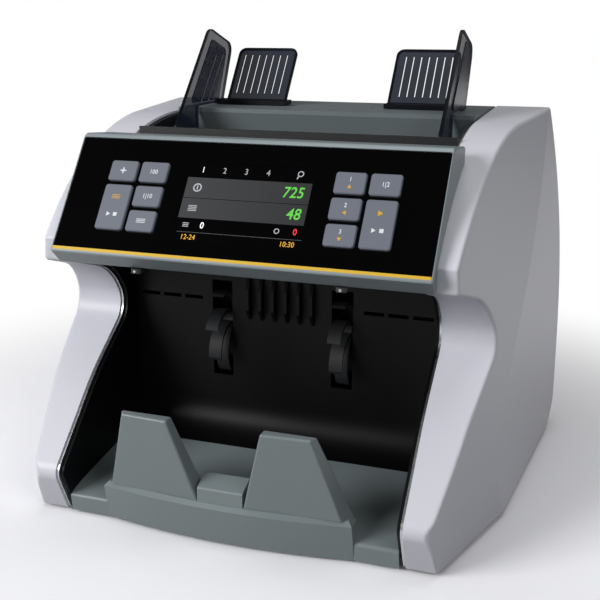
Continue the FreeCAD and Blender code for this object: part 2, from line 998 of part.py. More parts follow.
def roller(radius, x, place):
    """Rubber roller with a grooved tread, bored for its shaft."""
    y, z = place
    half = roller_width / 2
    body = rod_x(radius, x - half, x + half, y, z)
    core = rod_x(radius - tread_depth, x - half, x + half, y, z)
    groove = rod_x(radius + cut_margin, x - tread_width / 2, x + tread_width / 2, y, z).cut(core)
    bore = rod_x(shaft_radius + seat_gap, x - half - cut_margin, x + half + cut_margin, y, z)
    return body.cut(Part.Compound([groove, bore]))


def rollers(radius, spread, place):
    """Rollers on one shaft, at the X places given."""
    return Part.Compound([roller(radius, x, place) for x in spread])


def finger(start_angle, place, x0):
    """One curved finger of a finger wheel, swept back from hub to rim."""
    y, z = place
    start = math.radians(start_angle)
    sweep = math.radians(finger_sweep)

    def at(radius, angle, shift):
        turn = angle + shift / radius
        return V(x0, y + radius * math.cos(turn), z + radius * math.sin(turn))

    inner = wheel_hub_radius - finger_root
    middle = (inner + wheel_radius) / 2
    half = finger_thickness / 2
    tip = half * finger_tip_ratio
    bend = start + sweep * finger_bend
    end = start + sweep
    edges = [
        Part.Arc(at(inner, start, -half), at(middle, bend, -tip), at(wheel_radius, end, -tip)).toShape(),
        Part.makeLine(at(wheel_radius, end, -tip), at(wheel_radius, end, tip)),
        Part.Arc(at(wheel_radius, end, tip), at(middle, bend, tip), at(inner, start, half)).toShape(),
        Part.makeLine(at(inner, start, half), at(inner, start, -half)),
    ]
    return Part.Face(Part.Wire(edges)).extrude(V(wheel_width, 0, 0))


def finger_wheels():
    """Two finger wheels on the stacker shaft."""
    place = shaft_places()["stacker"]
    wheels = []
    for x in (-wheel_spread, wheel_spread):
        x0 = x - wheel_width / 2
        hub = rod_x(wheel_hub_radius, x0, x0 + wheel_width, *place)
        bore = rod_x(shaft_radius + seat_gap, x0 - cut_margin, x0 + wheel_width + cut_margin, *place)
        blades = [finger(index * 360.0 / finger_count, place, x0) for index in range(finger_count)]
        wheels.append(fuse_all([hub] + blades).cut(bore))
    return Part.Compound(wheels)


def shaft_bearings():
    """Flanged bearings of the four shafts, in both frame plates."""
    rings = []
    inner = frame_half_width - bearing_flange_thickness
    for y, z in shaft_places().values():
        ring = rod_x(bearing_radius, inner, cover_inner_x, y, z)
        flange = rod_x(bearing_radius + bearing_flange, inner, frame_half_width, y, z)
        bore = rod_x(shaft_radius + running_gap, inner - cut_margin, cover_inner_x + cut_margin, y, z)
        bearing = fuse_all([ring, flange]).cut(bore)
        rings.append(bearing)
        rings.append(mirrored(bearing))
    return Part.Compound(rings)


def belt(first, first_radius, second, second_radius, row):
    """Flat belt round two pulleys in one pulley row of the right side."""
    x0 = pulley_row(row) + pulley_flange_thickness + belt_side_gap

    def loop(extra):
        ends = [(V(0, *first), first_radius + extra), (V(0, *second), second_radius + extra)]
        across = ends[1][0] - ends[0][0]
        heading = math.atan2(across.z, across.y)
        lift = math.acos((ends[0][1] - ends[1][1]) / across.Length)

        def rim(end, angle):
            centre, radius = ends[end]
            return centre + V(0, radius * math.cos(angle), radius * math.sin(angle))

        edges = [
            Part.makeLine(rim(0, heading + lift), rim(1, heading + lift)),
            Part.Arc(rim(1, heading + lift), rim(1, heading), rim(1, heading - lift)).toShape(),
            Part.makeLine(rim(1, heading - lift), rim(0, heading - lift)),
            Part.Arc(rim(0, heading - lift), rim(0, heading + math.pi), rim(0, heading + lift)).toShape(),
        ]
        return Part.Face(Part.Wire(edges)).extrude(V(belt_width, 0, 0))

    band = loop(belt_gap + belt_thickness).cut(loop(belt_gap))
    band.translate(V(x0, 0, 0))
    return band


def motor_places():
    """Y and Z of the two motor axes."""
    main = (depth(main_motor_depth), drop(main_motor_drop))
    stacker = (depth(stacker_motor_depth), drop(stacker_motor_drop))
    return {"main": main, "stacker": stacker}


def drive_belts():
    """Motor to transport on the left; transport to feed, feed to pickup and stacker drive on the right."""
    shafts = shaft_places()
    motors = motor_places()
    main = mirrored(belt(motors["main"], motor_pulley_radius, shafts["transport"], large_pulley_radius, 0))
    feed = belt(shafts["transport"], drive_pulley_radius, shafts["feed"], drive_pulley_radius, 0)
    pickup = belt(shafts["feed"], drive_pulley_radius, shafts["pickup"], drive_pulley_radius, 1)
    stacker = belt(motors["stacker"], motor_pulley_radius, shafts["stacker"], large_pulley_radius, 0)
    return Part.Compound([main, feed, pickup, stacker])


def motor_body(place, radius, length):
    """Motor can with a front boss, standing on the inner face of the right frame plate."""
    y, z = place
    tail_x = frame_half_width - length
    can = rod_x(radius, tail_x, frame_half_width, y, z)
    boss = rod_x(motor_boss_radius, frame_half_width, cover_inner_x, y, z)
    tail = rod_x(radius * motor_tail_ratio, tail_x - motor_tail_length, tail_x, y, z)
    bore = rod_x(motor_shaft_radius + running_gap, tail_x + motor_shaft_end, cover_inner_x + cut_margin, y, z)
    return fuse_all([can, boss, tail]).cut(bore)


def motor_rotor(place, length):
    """Motor shaft with its pulley, on the right side."""
    y, z = place
    end_x = frame_half_width - length + motor_shaft_end + motor_shaft_end_gap
    shaft = rod_x(motor_shaft_radius, end_x, pulley_row(0) + pulley_flange_thickness, y, z)
    return fuse_all([shaft, pulley(motor_pulley_radius, pulley_row(0), y, z)])


# Note path


def rear_path_guide():
    """Curved sheet behind and below the transport rollers."""
    y, z = shaft_places()["transport"]
    inner = transport_radius + path_gap
    outer = inner + sheet_thickness

    def rim(radius, angle):
        turn = math.radians(angle)
        return V(-frame_half_width, y + radius * math.cos(turn), z + radius * math.sin(turn))

    low = path_low_angle
    high = path_high_angle
    middle = (low + high) / 2
    edges = [
        Part.Arc(rim(inner, low), rim(inner, middle), rim(inner, high)).toShape(),
        Part.makeLine(rim(inner, high), rim(outer, high)),
        Part.Arc(rim(outer, high), rim(outer, middle), rim(outer, low)).toShape(),
        Part.makeLine(rim(outer, low), rim(inner, low)),
    ]
    return Part.Face(Part.Wire(edges)).extrude(V(2 * frame_half_width, 0, 0))


def sensor_bar(angle):
    """Reading bar outside the path guide, with a stepped lens rail against it."""
    y, z = shaft_places()["transport"]
    reach = transport_radius + path_gap + sheet_thickness
    rail_top = reach + sensor_rail_height
    ear_low = reach + sensor_ear_rise
    bar = fuse_all([
        across_bar(sensor_rail_inset, sensor_rail_width, reach + sensor_rail_gap, rail_top),
        across_bar(sensor_body_inset, sensor_body_width, rail_top, rail_top + sensor_body_height),
        across_bar(0, sensor_ear_width, ear_low, ear_low + sensor_ear_thickness),
    ])
    bar.rotate(V(0, 0, 0), X_DIR, angle)
    bar.translate(V(0, y, z))
    return bar


def across_bar(inset, width, z0, z1):
    """Straight bar across the machine between two heights, short of the frame by an inset."""
    half = frame_half_width - inset
    return box(-half, half, -width / 2, width / 2, z0, z1)


def hopper_floor_z(at_depth):
    """Height of the hopper floor at a depth from the front."""
    return drop(hopper_front_drop) - (at_depth - hopper_front_depth) * math.tan(math.radians(hopper_slope))


def hopper_tub():
    """Black hopper: sloped floor, front wall and two side walls, with roller slots."""
    front_y0 = depth(hopper_front_depth)
    front_z = hopper_floor_z(hopper_front_depth)
    throat_y = depth(hopper_rear_depth - hopper_throat)
    throat_z = hopper_floor_z(hopper_rear_depth - hopper_throat)
    floor = side_prism([
        (front_y0, front_z, 0),
        (throat_y, throat_z, 0),
        (throat_y, throat_z - tub_wall, 0),
        (front_y0, front_z - tub_wall, 0),
    ], -frame_half_width, frame_half_width)
    rim = profile_prism(-frame_setback - hopper_rim_setback, frame_half_width - tub_wall, frame_half_width)
    wall = rim.common(side_prism([
        (front_y0, front_z - tub_wall, 0),
        (throat_y, throat_z - tub_wall, 0),
        (depth(hopper_rear_depth), cover_top_z, 0),
        (front_y0, cover_top_z, 0),
    ], 0, frame_half_width))
    front = box(-frame_half_width, frame_half_width, front_y0, front_y0 + tub_wall,
                front_z - tub_wall, drop(hopper_rim_drop))
    tub = fuse_all([floor, wall, mirrored(wall), front])
    half = roller_width / 2 + roller_slot_gap
    slots = []
    for x in pickup_spread():
        slots.append(box(x - half, x + half, depth(pickup_depth - roller_slot_front),
                         depth(pickup_depth + roller_slot_rear), drop(roller_slot_low_drop),
                         drop(roller_slot_top_drop)))
    return tub.cut(Part.Compound(slots))


def transport_spread():
    """X places of the transport rollers."""
    return (-transport_outer_x, -transport_inner_x, transport_inner_x, transport_outer_x)


def pickup_spread():
    """X places of the pickup rollers."""
    return (-pickup_x, pickup_x)


def deck_under():
    """Height of the underside of the deck."""
    return cover_top_z - skin_inset - deck_thickness


def guide_bottom():
    """Height of the note guides' underside, just over the deck."""
    return cover_top_z - skin_inset + slide_gap


def hopper_deck():
    """Deck behind the hopper with the sloped rear wall and the two guide slots."""
    under = deck_under()
    front = depth(hopper_rear_depth)
    top = cover_top_z - skin_inset
    back = rear_y - skin_inset
    slab = side_prism([
        (front, foot_gap, 0),
        (front, top, 0),
        (back, top, top_rear_radius - skin_inset),
        (back, foot_gap, 0),
    ], -frame_half_width, frame_half_width)
    plate = slab.common(box(-frame_half_width, frame_half_width, front, rear_y, under, cover_top_z))
    fall = hopper_floor_z(hopper_rear_depth) + deck_wall_rise
    lean = (under - fall) * math.tan(math.radians(hopper_slope))
    wall = side_prism([
        (front, under, 0),
        (front + tub_wall, under, 0),
        (front + tub_wall + lean, fall, 0),
        (front + lean, fall, 0),
    ], -frame_half_width, frame_half_width)
    slots = []
    half = tongue_thickness / 2 + slide_gap
    for side in (-1, 1):
        reach = (tongue_x + tongue_width / 2 + guide_out_travel + slide_gap) * side
        inner = (tongue_x - tongue_width / 2 - guide_in_travel - slide_gap) * side
        slots.append(box(min(reach, inner), max(reach, inner), depth(rack_depth) - half,
                         depth(rack_depth) + half, under - cut_margin, cover_top_z + cut_margin))
    return fuse_all([plate, wall]).cut(Part.Compound(slots))


def rack_tray():
    """Tray under the deck that carries the racks and the pinion's stud."""
    y = depth(rack_depth)
    base_z = drop(rack_drop) - slide_gap
    front = y - rack_tray_half_width
    back = y + rack_tray_half_width
    half = rack_tray_half_length
    floor = box(-half, half, front, back, base_z - rack_tray_wall, base_z)
    front_fence = box(-half, half, front, front + rack_tray_wall, base_z, deck_under())
    rear_fence = box(-half, half, back - rack_tray_wall, back, base_z, deck_under())
    stud = Part.makeCylinder(pinion_stud_radius, deck_under() - base_z, V(0, y, base_z), Z_DIR)
    return fuse_all([floor, front_fence, rear_fence, stud])


# Note guides


def gear_tooth_half(radius, pitch_radius):
    """Half angle of a pinion tooth at a radius, from the involute of its base circle."""
    base = pitch_radius * math.cos(math.radians(pressure_angle))
    half_pitch = (math.pi * gear_module / 2 - gear_backlash) / (2 * pitch_radius)

    def involute(r):
        spread = math.sqrt(max(r * r / (base * base) - 1, 0))
        return spread - math.atan(spread)

    return half_pitch + involute(pitch_radius) - involute(radius)


def pinion_radius():
    """Pitch radius of the guide pinion."""
    return gear_module * pinion_teeth / 2


def guide_pinion():
    """Pinion between the two racks, turning on the stud of the rack tray."""
    pitch = pinion_radius()
    tip = pitch + gear_addendum * gear_module
    root = pitch - gear_dedendum * gear_module
    y = depth(rack_depth)
    z0 = drop(rack_drop)
    flank = [root, pitch * math.cos(math.radians(pressure_angle)), pitch, tip]
    points = []
    for tooth in range(pinion_teeth):
        middle = -math.pi / 2 + tooth * 2 * math.pi / pinion_teeth
        for side, radii in ((-1, flank), (1, flank[::-1])):
            for radius in radii:
                angle = middle + side * gear_tooth_half(radius, pitch)
                points.append(V(radius * math.cos(angle), y + radius * math.sin(angle), z0))
    points.append(points[0])
    gear = Part.Face(Part.makePolygon(points)).extrude(V(0, 0, rack_height - rack_top_gap))
    bore = Part.makeCylinder(pinion_stud_radius + running_gap, rack_height + 2 * cut_margin,
                             V(0, y, z0 - cut_margin), Z_DIR)
    return gear.cut(bore)


def rack(z0):
    """Left guide's rack, with its teeth towards the pinion and a gap in line with the pinion's axis."""
    step = math.pi * gear_module
    slope = math.tan(math.radians(pressure_angle))
    half = (step / 2 - gear_backlash) / 2
    tip = gear_addendum * gear_module
    root = gear_dedendum * gear_module
    pitch_y = depth(rack_depth) - pinion_radius()
    root_y = pitch_y - root
    start_x = -tongue_x - tongue_width / 2
    end_x = (rack_last_tooth + rack_end) * step
    points = [V(start_x, root_y - rack_back, z0), V(end_x, root_y - rack_back, z0), V(end_x, root_y, z0)]
    for index in range(rack_last_tooth, rack_first_tooth - 1, -1):
        middle = (index + 0.5) * step
        points.append(V(middle + half + root * slope, root_y, z0))
        points.append(V(middle + half - tip * slope, pitch_y + tip, z0))
        points.append(V(middle - half + tip * slope, pitch_y + tip, z0))
        points.append(V(middle - half - root * slope, root_y, z0))
    points.append(V(start_x, root_y, z0))
    points.append(points[0])
    return Part.Face(Part.makePolygon(points)).extrude(V(0, 0, rack_height - rack_top_gap))


def guide_side_plate():
    """Left guide's side plate with a thicker front rim and slits in its rear half."""
    foot = V(0, depth(guide_front_depth), drop(guide_front_drop))
    peak = V(0, depth(guide_top_depth), cover_top_z + guide_top_rise)
    step_y = depth(hopper_rear_depth - guide_hopper_gap)
    corners = [
        (foot.y, foot.z, guide_front_radius),
        (peak.y, peak.z, guide_top_radius),
        (depth(guide_rear_depth), cover_top_z + guide_rear_rise, guide_rear_radius),
        (depth(guide_heel_depth), guide_bottom(), 0),
        (step_y, guide_bottom(), guide_step_radius),
        (step_y, foot.z, guide_step_radius),
    ]
    x0 = -guide_x - guide_thickness / 2
    run = (peak - foot).normalize()
    inward = V(0, run.z, -run.y)
    x1 = x0 + guide_thickness
    rim_x0 = x0 - guide_rim_extra
    rim_x1 = x1 + guide_rim_extra
    rim_band = strip(foot, peak, inward * guide_rim_width, rim_x0, rim_x1)
    rim = rim_band.common(side_prism(corners, rim_x0, rim_x1))
    slits = []
    for index in range(guide_slit_count):
        start = foot + run * guide_slit_low + inward * (guide_slit_start + index * guide_slit_pitch)
        end = start + run * guide_slit_length
        slits.append(strip(start, end, inward * guide_slit_width, rim_x0 - cut_margin, rim_x1 + cut_margin))
    return fuse_all([side_prism(corners, x0, x1), rim]).cut(Part.Compound(slits))


def strip(start, end, across, x0, x1):
    """Straight bar beside a line in the YZ plane, between two X planes."""
    face = Part.Face(Part.makePolygon([start, end, end + across, start + across, start]))
    face.translate(V(x0, 0, 0))
    return face.extrude(V(x1 - x0, 0, 0))


def guide_back_rest():
    """Left guide's ribbed back-rest, leaning back from its foot."""
    width = rib_outer_x - rib_inner_x
    plate = outline([
        (0, 0, 0),
        (width, 0, 0),
        (width, rib_length, rib_corner_radius),
        (0, rib_length, rib_corner_radius),
    ], lambda a, b: V(a, b, 0)).extrude(V(0, 0, guide_thickness))
    slits = []
    for index in range(rib_count):
        x = width / 2 + (index - (rib_count - 1) / 2) * rib_pitch
        slits.append(box(x - rib_slit_width / 2, x + rib_slit_width / 2, rib_slit_low,
                         rib_length - rib_slit_top, -cut_margin, guide_thickness + cut_margin))
    plate = plate.cut(Part.Compound(slits))
    plate.rotate(V(0, 0, 0), X_DIR, 90.0 - rib_lean)
    plate.translate(V(-rib_outer_x, depth(rack_depth), guide_bottom() + guide_seat))
    return plate


def guide_frame():
    """Left guide above the deck: side plate, ribbed back-rest, foot and the tongue through the deck."""
    y = depth(rack_depth)
    foot = box(-guide_x - guide_thickness / 2, -rib_inner_x, y - guide_foot_width / 2,
               y + guide_foot_width / 2, guide_bottom(), guide_bottom() + guide_foot_height)
    tongue = box(-tongue_x - tongue_width / 2, -tongue_x + tongue_width / 2, y - tongue_thickness / 2,
                 y + tongue_thickness / 2, drop(rack_drop), guide_bottom() + guide_seat)
    return fuse_all([guide_side_plate(), guide_back_rest(), foot, tongue])


def guide_rack():
    """Left guide's rack with the arm that joins it to the tongue."""
    y = depth(rack_depth)
    z0 = drop(rack_drop)
    root_y = y - pinion_radius() - gear_dedendum * gear_module
    arm = box(-tongue_x - tongue_width / 2, -tongue_x + tongue_width / 2, root_y - rack_arm_lap,
              y + tongue_thickness / 2, z0, z0 + rack_height - rack_top_gap)
    return fuse_all([arm, rack(z0)])


def note_guides():
    """Left and right note guide, with racks on opposite sides of the pinion."""
    left = fuse_all([guide_frame(), guide_rack()])
    turned = guide_rack()
    turned.rotate(V(0, depth(rack_depth), 0), Z_DIR, 180.0)
    right = fuse_all([mirrored(guide_frame()), turned])
    return left, right


# Control head


def panel_place():
    """Placement of the panel: local X across, local Y up the slope, local Z out of the lens."""
    turn = FreeCAD.Rotation(X_DIR, 90.0 - panel_tilt)
    return FreeCAD.Placement(V(0, depth(panel_depth), drop(panel_drop)), turn)


def on_panel(shape):
    """Moves a shape from panel measures into the machine."""
    shape.Placement = panel_place().multiply(shape.Placement)
    return shape


def panel_yz(up, out):
    """Y and Z of a point on the panel's middle line."""
    point = panel_place().multVec(V(0, up, out))
    return point.y, point.z


def panel_slab(half_width, low, high, radius, back, front):
    """Rounded plate in panel measures."""
    corners = [
        (-half_width, low, radius),
        (half_width, low, radius),
        (half_width, high, radius),
        (-half_width, high, radius),
    ]
    return on_panel(outline(corners, lambda a, b: V(a, b, back)).extrude(V(0, 0, front - back)))


def key_places():
    """Name, X, middle height and length of each of the ten keys."""
    places = {}
    tall = key_height + key_row_pitch
    for side, sign in (("left", -1), ("right", 1)):
        places[side + "_key_outer_top"] = (sign * key_outer_x, key_low_row + 2 * key_row_pitch, key_height)
        places[side + "_key_outer_tall"] = (sign * key_outer_x, key_low_row + key_row_pitch / 2, tall)
        for row, label in enumerate(("low", "middle", "top")):
            inner_spot = (sign * key_inner_x, key_low_row + row * key_row_pitch, key_height)
            places[side + "_key_inner_" + label] = inner_spot
    return places


def key_slab(place, margin, back, front, radius):
    """Rounded block at one key's place, wider by a margin on each side."""
    x, middle, length = place
    half = key_width / 2 + margin
    reach = length / 2 + margin
    corners = [
        (x - half, middle - reach, radius),
        (x + half, middle - reach, radius),
        (x + half, middle + reach, radius),
        (x - half, middle + reach, radius),
    ]
    return outline(corners, lambda a, b: V(a, b, back)).extrude(V(0, 0, front - back))


def key(place):
    """Key cap with a softened top, a retaining lip and a stem."""
    lip_top = -head_front_wall - key_lip_gap
    lip_low = lip_top - key_lip_thickness
    cap = key_slab(place, 0, lip_top, key_proud, key_corner)
    top_edges = [edge for edge in cap.Edges if edge.BoundBox.ZMin > 0]
    cap = cap.makeChamfer(key_top_chamfer, top_edges)
    lip = key_slab(place, key_lip, lip_low, lip_top, key_corner)
    stem_low = lip_low - key_stem_length
    stem = Part.makeCylinder(key_stem_radius, lip_top - stem_low, V(place[0], place[1], stem_low), Z_DIR)
    return on_panel(fuse_all([cap, lip, stem]))


def key_cuts():
    """Openings of the ten keys through lens and front wall."""
    low = -head_front_wall - board_drop
    cuts = [key_slab(place, key_gap, low, cut_margin, key_corner) for place in key_places().values()]
    return on_panel(Part.Compound(cuts))


def display_cut(margin):
    """Opening for the display through lens and front wall."""
    return panel_slab(display_half_width + margin, display_low - margin, display_high + margin,
                      display_corner + margin, -head_front_wall - board_drop, cut_margin)


def head_outer():
    """Outer form of the head: a core between the frames and two ends in front of the covers."""
    low = panel_yz(-bezel_margin, bezel_proud)
    high = panel_yz(panel_length + bezel_top_margin, bezel_proud)
    core_half = frame_half_width - head_core_gap
    end_half = cover_inner_x + head_overhang
    chin_z = drop(nose_drop) + head_chin_gap
    front = [
        (depth(head_chin_depth), chin_z, head_chin_radius),
        (low[0], low[1], bezel_low_radius),
        (high[0], high[1], bezel_top_radius),
        (depth(head_top_end), drop(head_top_drop), head_top_radius),
    ]
    core = side_prism(front + [
        (depth(head_top_end), drop(head_back_drop), head_back_radius),
        (depth(head_back_depth), chin_z, head_back_radius),
    ], -core_half, core_half)
    ends = side_prism(front + [
        (depth(head_top_end), drop(head_end_drop), 0),
        (depth(head_end_depth), chin_z, 0),
    ], -end_half, end_half)
    flanks = [edge for edge in ends.Edges if edge.BoundBox.XLength < seat_gap]
    ends = ends.makeFillet(head_edge_radius, flanks)
    ends = ends.cut(profile_prism(swing_gap, -end_half - cut_margin, end_half + cut_margin))
    return fuse_all([core, ends])


def head_cavity():
    """Hollow of the head, open along its sloped back."""
    low = panel_yz(-cavity_low_margin, -head_front_wall)
    high = panel_yz(panel_length - cavity_top_margin, -head_front_wall)
    half = frame_half_width - head_core_gap - head_wall
    back = depth(head_top_end) - head_wall
    floor_z = drop(nose_drop) + head_wall
    return side_prism([
        (low[0], low[1], 0),
        (high[0], high[1], 0),
        (back, drop(head_top_drop) - head_wall, 0),
        (back, drop(head_end_drop), 0),
        (depth(cavity_back_depth), floor_z, 0),
        (depth(head_chin_depth), floor_z + cavity_chin_rise, 0),
    ], -half, half)


def head_back_line():
    """Ends of the head's sloped back, as points in the YZ plane."""
    low = V(0, depth(head_back_depth), drop(nose_drop) + head_chin_gap)
    high = V(0, depth(head_top_end), drop(head_back_drop))
    return low, high


def head_back_cover():
    """Plate that closes the sloped back of the head, with stiffening ribs."""
    low, high = head_back_line()
    along = (high - low).normalize()
    inward = V(0, -along.z, along.y)
    half = frame_half_width - head_core_gap - head_wall - back_cover_gap
    start = low + along * back_cover_low_end
    end = high - along * back_cover_top_end
    pieces = [strip(start, end, inward * back_cover_thickness, -half, half)]
    rib_start = start + along * back_rib_end
    rib_end = end - along * back_rib_end
    slope = along * back_rib_slope
    rise = inward * back_rib_height
    for index in range(back_rib_count):
        x = (index - (back_rib_count - 1) / 2) * back_rib_pitch
        ring = [rib_start, rib_end, rib_end - slope + rise, rib_start + slope + rise, rib_start]
        rib = Part.Face(Part.makePolygon(ring)).extrude(V(back_rib_thickness, 0, 0))
        rib.translate(V(x, 0, 0))
        pieces.append(rib)
    return fuse_all(pieces)


def hinge_axis():
    """Y and Z of the head's hinge."""
    return depth(hinge_depth), drop(hinge_drop)


def hinge_lug():
    """Right barrel of the head's hinge with the arm that carries it."""
    y, z = hinge_axis()
    outer = frame_half_width - head_core_gap
    inner = outer - hinge_barrel_length
    barrel = rod_x(hinge_barrel_radius, inner, outer, y, z)
    arm = box(inner, outer, depth(head_top_end) - hinge_arm_lap, y,
              z - hinge_barrel_radius, z + hinge_barrel_radius)
    bore = rod_x(hinge_pin_radius + running_gap, inner - cut_margin, outer + cut_margin, y, z)
    return fuse_all([barrel, arm]).cut(bore)


def hinge_roof():
    """Curved roof over the hinge that closes the gap behind the head."""
    y, z = hinge_axis()
    half = frame_half_width - head_core_gap
    ring = rod_x(hinge_roof_radius, -half, half, y, z)
    ring = ring.cut(rod_x(hinge_roof_radius - head_wall, -half - cut_margin, half + cut_margin, y, z))
    return ring.common(box(-half, half, depth(head_top_end) - hinge_roof_lap, y + hinge_roof_radius,
                           z + hinge_roof_rise, z + hinge_roof_radius))


def board_posts():
    """Posts behind the front wall that carry the keypad board."""
    posts = []
    low = -head_front_wall - board_drop
    for x in (-post_outer_x, -post_inner_x, post_inner_x, post_outer_x):
        for up in (post_margin, panel_length - post_margin):
            post = Part.makeCylinder(post_radius, board_drop + post_root, V(x, up, low), Z_DIR)
            posts.append(on_panel(post))
    return posts


def head_housing():
    """Moulded head: bezel, top, ends and hinge barrels, hollow towards its back cover."""
    lug = hinge_lug()
    shell = head_outer().cut(head_cavity())
    body = fuse_all([shell, hinge_roof(), lug, mirrored(lug)] + board_posts())
    lens_pocket = panel_slab(lens_half_width + lens_gap, -lens_gap, panel_length + lens_gap, lens_corner,
                             -lens_thickness, bezel_proud + cut_margin)
    groove = panel_slab(lens_half_width, -lens_gap - stripe_width, lens_thickness, stripe_corner,
                        bezel_proud - stripe_thickness, bezel_proud + cut_margin)
    return body.cut(lens_pocket).cut(groove).cut(key_cuts()).cut(display_cut(display_wall_gap))


def panel_lens():
    """Black lens with openings for the display and the keys."""
    slab = panel_slab(lens_half_width, 0, panel_length, lens_corner, -lens_thickness, 0)
    return slab.cut(key_cuts()).cut(display_cut(display_gap))


def accent_stripe():
    """Coloured strip in a groove under the lens."""
    low = -lens_gap - stripe_width + stripe_gap
    return panel_slab(lens_half_width - stripe_end_gap, low, -lens_gap, stripe_corner,
                      bezel_proud - stripe_thickness, bezel_proud)


def display_module():
    """Display with a raised glass in the lens opening and a frame behind the front wall."""
    back = -head_front_wall - board_drop
    rim = -head_front_wall - display_frame_inset
    glass = panel_slab(display_half_width, display_low, display_high, display_corner, back, -display_sink)
    frame = panel_slab(display_half_width - display_frame_inset, display_low - display_frame_margin,
                       display_high + display_frame_margin, display_corner, back, rim)
    return fuse_all([glass, frame])


def keypad_board():
    """Circuit board behind keys and display."""
    front = -head_front_wall - board_drop
    return panel_slab(board_half_width, board_margin, panel_length - board_margin, board_corner,
                      front - board_thickness, front)


def head_latches():
    """Two finger latches under the front edge of the head."""
    bodies = []
    top = drop(nose_drop) + head_chin_gap
    front = depth(latch_depth)
    back = depth(latch_depth + latch_length)
    half = latch_width / 2
    for x in (-latch_x, latch_x):
        corners = [
            (x - half, front, latch_front_radius),
            (x + half, front, latch_front_radius),
            (x + half, back, latch_rear_radius),
            (x - half, back, latch_rear_radius),
        ]
        bodies.append(plan_prism(corners, top - latch_thickness, top))
    return Part.Compound(bodies)


def hinge_pins():
    """Plain pins of the head's hinge, held in the frame plates."""
    inner = frame_half_width - head_core_gap - hinge_barrel_length + hinge_pin_end
    pin = rod_x(hinge_pin_radius, inner, cover_inner_x, *hinge_axis())
    return Part.Compound([pin, mirrored(pin)])


def port_places():
    """X of the middle of each data port."""
    return [-port_x - index * port_spread for index in range(port_count)]


def rear_cut(x0, x1, z0, z1):
    """Cutter through the rear wall."""
    return box(x0, x1, rear_y - 2 * rear_wall, rear_y + cut_margin, z0, z1)


# Rear wall and electronics


def rear_cover():
    """Rear wall that follows the covers' outline, with louvres and cut-outs."""
    half = frame_half_width
    outer = profile_prism(-skin_inset, -half, half)
    inner = profile_prism(-skin_inset - rear_wall, -half - cut_margin, half + cut_margin)
    front = rear_y - bottom_rear_radius - base_rear_gap
    region = box(-half, half, front, rear_y, 0, deck_under())
    roof = box(-half, half, front, rear_y - top_rear_radius, drop(top_rear_radius), deck_under())
    wall = outer.cut(inner).common(region).cut(roof)
    cuts = []
    for x in (-vent_x, vent_x):
        for index in range(vent_count):
            z = drop(vent_low_drop) + index * vent_pitch
            cuts.append(rear_cut(x - vent_length / 2, x + vent_length / 2, z, z + vent_height))
    cuts.append(rear_cut(inlet_x - inlet_width / 2 - switch_width, inlet_x + inlet_width / 2,
                         inlet_z - inlet_height / 2, inlet_z + inlet_height / 2))
    for x in port_places():
        cuts.append(rear_cut(x - port_half_width, x + port_half_width, port_z - port_half_height,
                             port_z + port_half_height))
    return wall.cut(Part.Compound(cuts))


def switch_x():
    """X of the middle of the power switch, beside the inlet."""
    return inlet_x - (inlet_width + switch_width) / 2


def power_inlet():
    """Appliance inlet with three pins and the power switch's frame and pivot beside it, as one moulding."""
    half_w = inlet_width / 2
    half_h = inlet_height / 2
    well_w = half_w - inlet_wall
    well_h = half_h - inlet_wall
    shell = box(inlet_x - half_w - switch_width, inlet_x + half_w, rear_y - inlet_depth,
                rear_y - fitting_sink, inlet_z - half_h, inlet_z + half_h)
    well = plan_rear([
        (inlet_x - well_w, inlet_z - well_h, inlet_corner_radius),
        (inlet_x + well_w, inlet_z - well_h, inlet_corner_radius),
        (inlet_x + well_w, inlet_z + well_h - inlet_corner, 0),
        (inlet_x + well_w - inlet_corner, inlet_z + well_h, 0),
        (inlet_x - well_w + inlet_corner, inlet_z + well_h, 0),
        (inlet_x - well_w, inlet_z + well_h - inlet_corner, 0),
    ], rear_y - inlet_well_depth, rear_y)
    x = switch_x()
    nest_w = switch_width / 2 - switch_wall
    nest_h = switch_height / 2
    nest = box(x - nest_w, x + nest_w, rear_y - switch_well_depth, rear_y, inlet_z - nest_h, inlet_z + nest_h)
    pivot = Part.makeCylinder(rocker_pivot_radius, switch_height + 2 * rocker_pivot_root,
                              V(x, rear_y - rocker_pivot_depth, inlet_z - nest_h - rocker_pivot_root), Z_DIR)
    pins = []
    for side in (-1, 0, 1):
        pin_x = inlet_x + side * inlet_pin_spread
        pin_z = inlet_z + (inlet_pin_high if side == 0 else -inlet_pin_low)
        pins.append(box(pin_x - inlet_pin_width / 2, pin_x + inlet_pin_width / 2,
                        rear_y - inlet_well_depth - inlet_pin_root, rear_y - inlet_pin_depth,
                        pin_z - inlet_pin_height / 2, pin_z + inlet_pin_height / 2))
    return fuse_all([shell.cut(Part.Compound([well, nest])), pivot] + pins)


def plan_rear(corners, y0, y1):
    """Solid with an (x, z, radius) outline between two Y planes."""
    face = outline(corners, lambda x, z: V(x, y0, z))
    return face.extrude(V(0, y1 - y0, 0))


def power_rocker():
    """Rocker of the power switch with two sloped faces, bored for its pivot."""
    x = switch_x()
    half_w = switch_width / 2 - switch_wall - rocker_side_gap
    half_h = switch_height / 2 - rocker_gap
    face = outline([
        (x - half_w, rear_y - rocker_back, rocker_back_radius),
        (x + half_w, rear_y - rocker_back, rocker_back_radius),
        (x + half_w, rear_y - rocker_crest, rocker_crest_radius),
        (x, rear_y - rocker_dip, rocker_dip_radius),
        (x - half_w, rear_y - rocker_crest, rocker_crest_radius),
    ], lambda a, b: V(a, b, inlet_z - half_h))
    body = face.extrude(V(0, 0, 2 * half_h))
    bore = Part.makeCylinder(rocker_pivot_radius + running_gap, switch_height,
                             V(x, rear_y - rocker_pivot_depth, inlet_z - switch_height / 2), Z_DIR)
    return body.cut(bore)


